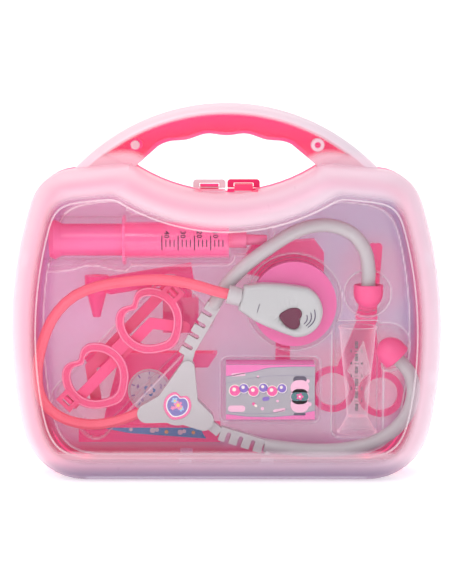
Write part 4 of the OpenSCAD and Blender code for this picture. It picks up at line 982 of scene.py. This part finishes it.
DIAL_AT, DIAL_IN, DIAL_OUT, DIGITS_AT = Vector((-0.0500, 0.0510)), 0.0100, 0.0122, 0.0078
divisions = []
for n in range(10):
    a = math.radians(90 - 36 * n)
    way = Vector((math.cos(a), math.sin(a)))
    divisions.append(bar(*(DIAL_AT + DIAL_IN * way), *(DIAL_AT + DIAL_OUT * way), 0.0007, 2))
    if n % 2 == 0:
        divisions.append(figures(str(n), 0.0036, *(DIAL_AT + DIGITS_AT * way)))
print_on("dial_print", "case", skin_of("scale_dial"), [
    (blush_ink, 0, [disc(*DIAL_AT, 0.0130, 48)]), (cloud_ink, 1, [disc(*DIAL_AT, 0.0124, 48)]),
    (violet_ink, 2, divisions), (sky_ink, 2, [petals(*DIAL_AT, 0.0040, 5)])], lift=0.00004)

# ---------------------------------------------------------------- Measuring cylinder
# A thin clear styrene measure on a flared foot, with marks printed up its
# front. Its walls show only where they are seen edge on.

CUP_AT, CUP_STEPS = (0.0834, -0.0020), 64
CUP_FOOT, CUP_LOW, CUP_TOP = 0.0129, 0.0066, 0.0123
CUP_FLOOR = (CUP_LOW, 0.0380)
CUP_LINE = [(0.0112, 0.0277), (CUP_FOOT, 0.0277), (CUP_FOOT, 0.0289), (CUP_FOOT - 0.0020, 0.0302),
            (0.0092, 0.0334), CUP_FLOOR, (CUP_LOW + 0.0012, 0.0560), (CUP_TOP - 0.0018, 0.0800),
            (CUP_TOP - 0.0006, 0.0940), (CUP_TOP, 0.0946), (CUP_TOP, 0.0958), (CUP_TOP - 0.0006, 0.0960),
            (CUP_TOP - 0.0012, 0.0950)]
verts = swept(CUP_LINE + [CUP_FLOOR], CUP_STEPS,
              lambda aside, back, z: (CUP_AT[0] + aside, CUP_AT[1] + back, z))
faces = ring_faces(len(CUP_LINE), CUP_STEPS) + [range(len(verts) - CUP_STEPS, len(verts))]
measuring_cup = piece_from("measuring_cup", verts, faces)
# The measure carries a painted glow in its emission.
cup_clear = plastic("cup_clear", "#f9cde0", "#fbdcea", rough=0.08, rub=0.04, coat=0.6, painted_glow_strength=0.35)
cup = cup_clear.node_tree
facing = add_node(cup, "ShaderNodeLayerWeight", {"Blend": 0.35}).outputs["Facing"]
fill(cup, cup.nodes["Principled BSDF"], {"Alpha": ramp_of(cup, facing, 0.05, 1.0, 0.06, 0.75)})
measuring_cup.data.materials.append(cup_clear)
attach(measuring_cup, "case")
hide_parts("measuring_cylinder")

MEASURE_X, MEASURE_TOP, MEASURE_STEP, MEASURE_LEAN, TINY_STEP = 0.0820, 0.0814, 0.0081, 0.00012, 0.00095
strokes = []
for n in range(5):
    z, x = MEASURE_TOP - n * MEASURE_STEP, MEASURE_X + MEASURE_LEAN * n
    strokes.append(bar(x - 0.0013, z, x + 0.0013, z, 0.0004, 4))
    strokes += [figures(str(5 - n), 0.0027, x + side, z) for side in (-0.0033, 0.0033)]
for n in range(6):
    z, x = MEASURE_TOP + (0.5 - n) * MEASURE_STEP, MEASURE_X + MEASURE_LEAN * n
    strokes += [bar(x - 0.0010, z + k * TINY_STEP, x + 0.0010, z + k * TINY_STEP, 0.00058, 4)
                for k in (-2, -1, 0, 1, 2)]
print_on("cup_marks", "case", skin_of("measuring_cylinder"), [
    (ink("slate_marks", "#3d4a52", "#56646c"), 0, strokes)])

# ---------------------------------------------------------------- Front shell
# The clear front half is injection-moulded polypropylene: milky at its rolled
# rim and in the outer band of the grip, polished clear in the raised window
# panel, with two sprung catches under the handle. It is the lid when opened.

frosted = plastic("frosted_clear", "#f6e3ec", "#fbeef4", rough=0.3)
clear = frosted.node_tree
case_in, grip_in, panel_in, slant = of_case(clear)
right, _, up = place_in(clear)


def strongest(*masks):
    most = masks[0]
    for mask in masks[1:]:
        most = reckon(clear, "MAXIMUM", most, mask)
    return most


# The rim's tint is painted light, pinker towards the upper left and greyer towards the right. A pink blush
# of the rear half lies inside the rim; its strength is painted light, strongest at the upper left. The
# underside carries painted shade, darker mauve towards the bottom.
painted_light_tint = blend_of(clear, ramp_of(clear, slant, -0.18, 0.02), "#fde2ec", "#ece2ec")
fill(clear, clear.nodes["Principled BSDF"], {"Base Color": painted_light_tint, "Emission Strength": 1.0})
blush = reckon(clear, "MULTIPLY", ramp_of(clear, case_in, 0.004, 0.010),
               ramp_of(clear, case_in, 0.016, 0.010))
blush = reckon(clear, "MULTIPLY", blush, ramp_of(clear, slant, -0.16, 0.10, 0.36, 0.10))
tone_over(clear, blush, "#fb8db4")
tone_over(clear, ramp_of(clear, up, 0.019, 0.003), "#7e7a98")

# Milky at the rim, nearly clear over the window, with a painted highlight, a fine bright line with a
# painted glow, along the panel's step and a breath of haze over the bottom wall. The rim band above the
# bottom wall carries a painted glow in its emission.
PANEL_STEP = 0.0026
line_gap = reckon(clear, "ABSOLUTE", reckon(clear, "SUBTRACT", panel_in, PANEL_STEP))
panel_step_highlight = ramp_of(clear, line_gap, 0.0001, 0.0009, 0.34, 0.0)
body = strongest(ramp_of(clear, panel_in, -0.0040, 0.0028, 0.62, 0.018), panel_step_highlight,
                 ramp_of(clear, up, 0.0225, 0.0185, 0.0, 0.30))
painted_rim_glow = reckon(clear, "MULTIPLY", ramp_of(clear, case_in, 0.016, 0.004), ramp_of(clear, up, 0.020, 0.050))
tone_over(clear, painted_rim_glow, "#28262e", "Emission Color")
tone_over(clear, panel_step_highlight, "#ffffff")
tone_over(clear, panel_step_highlight, "#6a606a", "Emission Color")

# The grip is milky in its outer band and at its roots. Its peg shows as a
# disc at the left, and the socket of the other half as a ring at the right.
PEG_OUT, PEG_UP, RING_R = 0.0570, 0.2110, 0.0030
band = ramp_of(clear, grip_in, 0.0044, 0.0078, 0.86, 0.04)
brink = ramp_of(clear, grip_in, 0.0150, 0.0190, 0.0, 0.06)
root = ramp_of(clear, case_in, -0.0110, -0.0040, 0.0, 0.5)
# The roots carry a painted glow in their emission.
tone_over(clear, root, "#7c4456", "Emission Color")
peg = ramp_of(clear, reach_from(clear, right, up, (-PEG_OUT, PEG_UP)), 0.0022, 0.0032, 0.55, 0.0)
ring_gap = reckon(clear, "SUBTRACT", reach_from(clear, right, up, (PEG_OUT, PEG_UP)), RING_R)
ring = ramp_of(clear, reckon(clear, "ABSOLUTE", ring_gap), 0.0006, 0.0016, 0.62, 0.0)
on_grip = reckon(clear, "LESS_THAN", case_in, -0.0005)
alpha = add_node(clear, "ShaderNodeMix", {
    "Factor": on_grip, "A": body, "B": strongest(band, brink, peg, ring, root)}).outputs["Result"]

# The hooks under the two catches are dyed like them.
HOOK_OUT, HOOK_HALF, HOOK_LOW, HOOK_HIGH = 0.0108, 0.0090, 0.1822, 0.1925
at_hooks = reckon(clear, "MULTIPLY", reckon(clear, "GREATER_THAN", up, HOOK_LOW),
                  reckon(clear, "LESS_THAN", up, HOOK_HIGH))
for hook_x, dye in ((HOOK_OUT, "#ff0f66"), (-HOOK_OUT, "#f9a2b6")):
    off_hook = reckon(clear, "ABSOLUTE", reckon(clear, "SUBTRACT", right, hook_x))
    hook = reckon(clear, "MULTIPLY", reckon(clear, "LESS_THAN", off_hook, HOOK_HALF), at_hooks)
    tone_over(clear, hook, dye)
    alpha = strongest(alpha, hook)
fill(clear, clear.nodes["Principled BSDF"], {"Alpha": alpha})
dress("front_shell", frosted)
dress("front_latch_tab", plastic("tab_frosted", "#f6cbd6", "#fadae2", rough=0.35, alpha=0.9), bevel=0.0003)
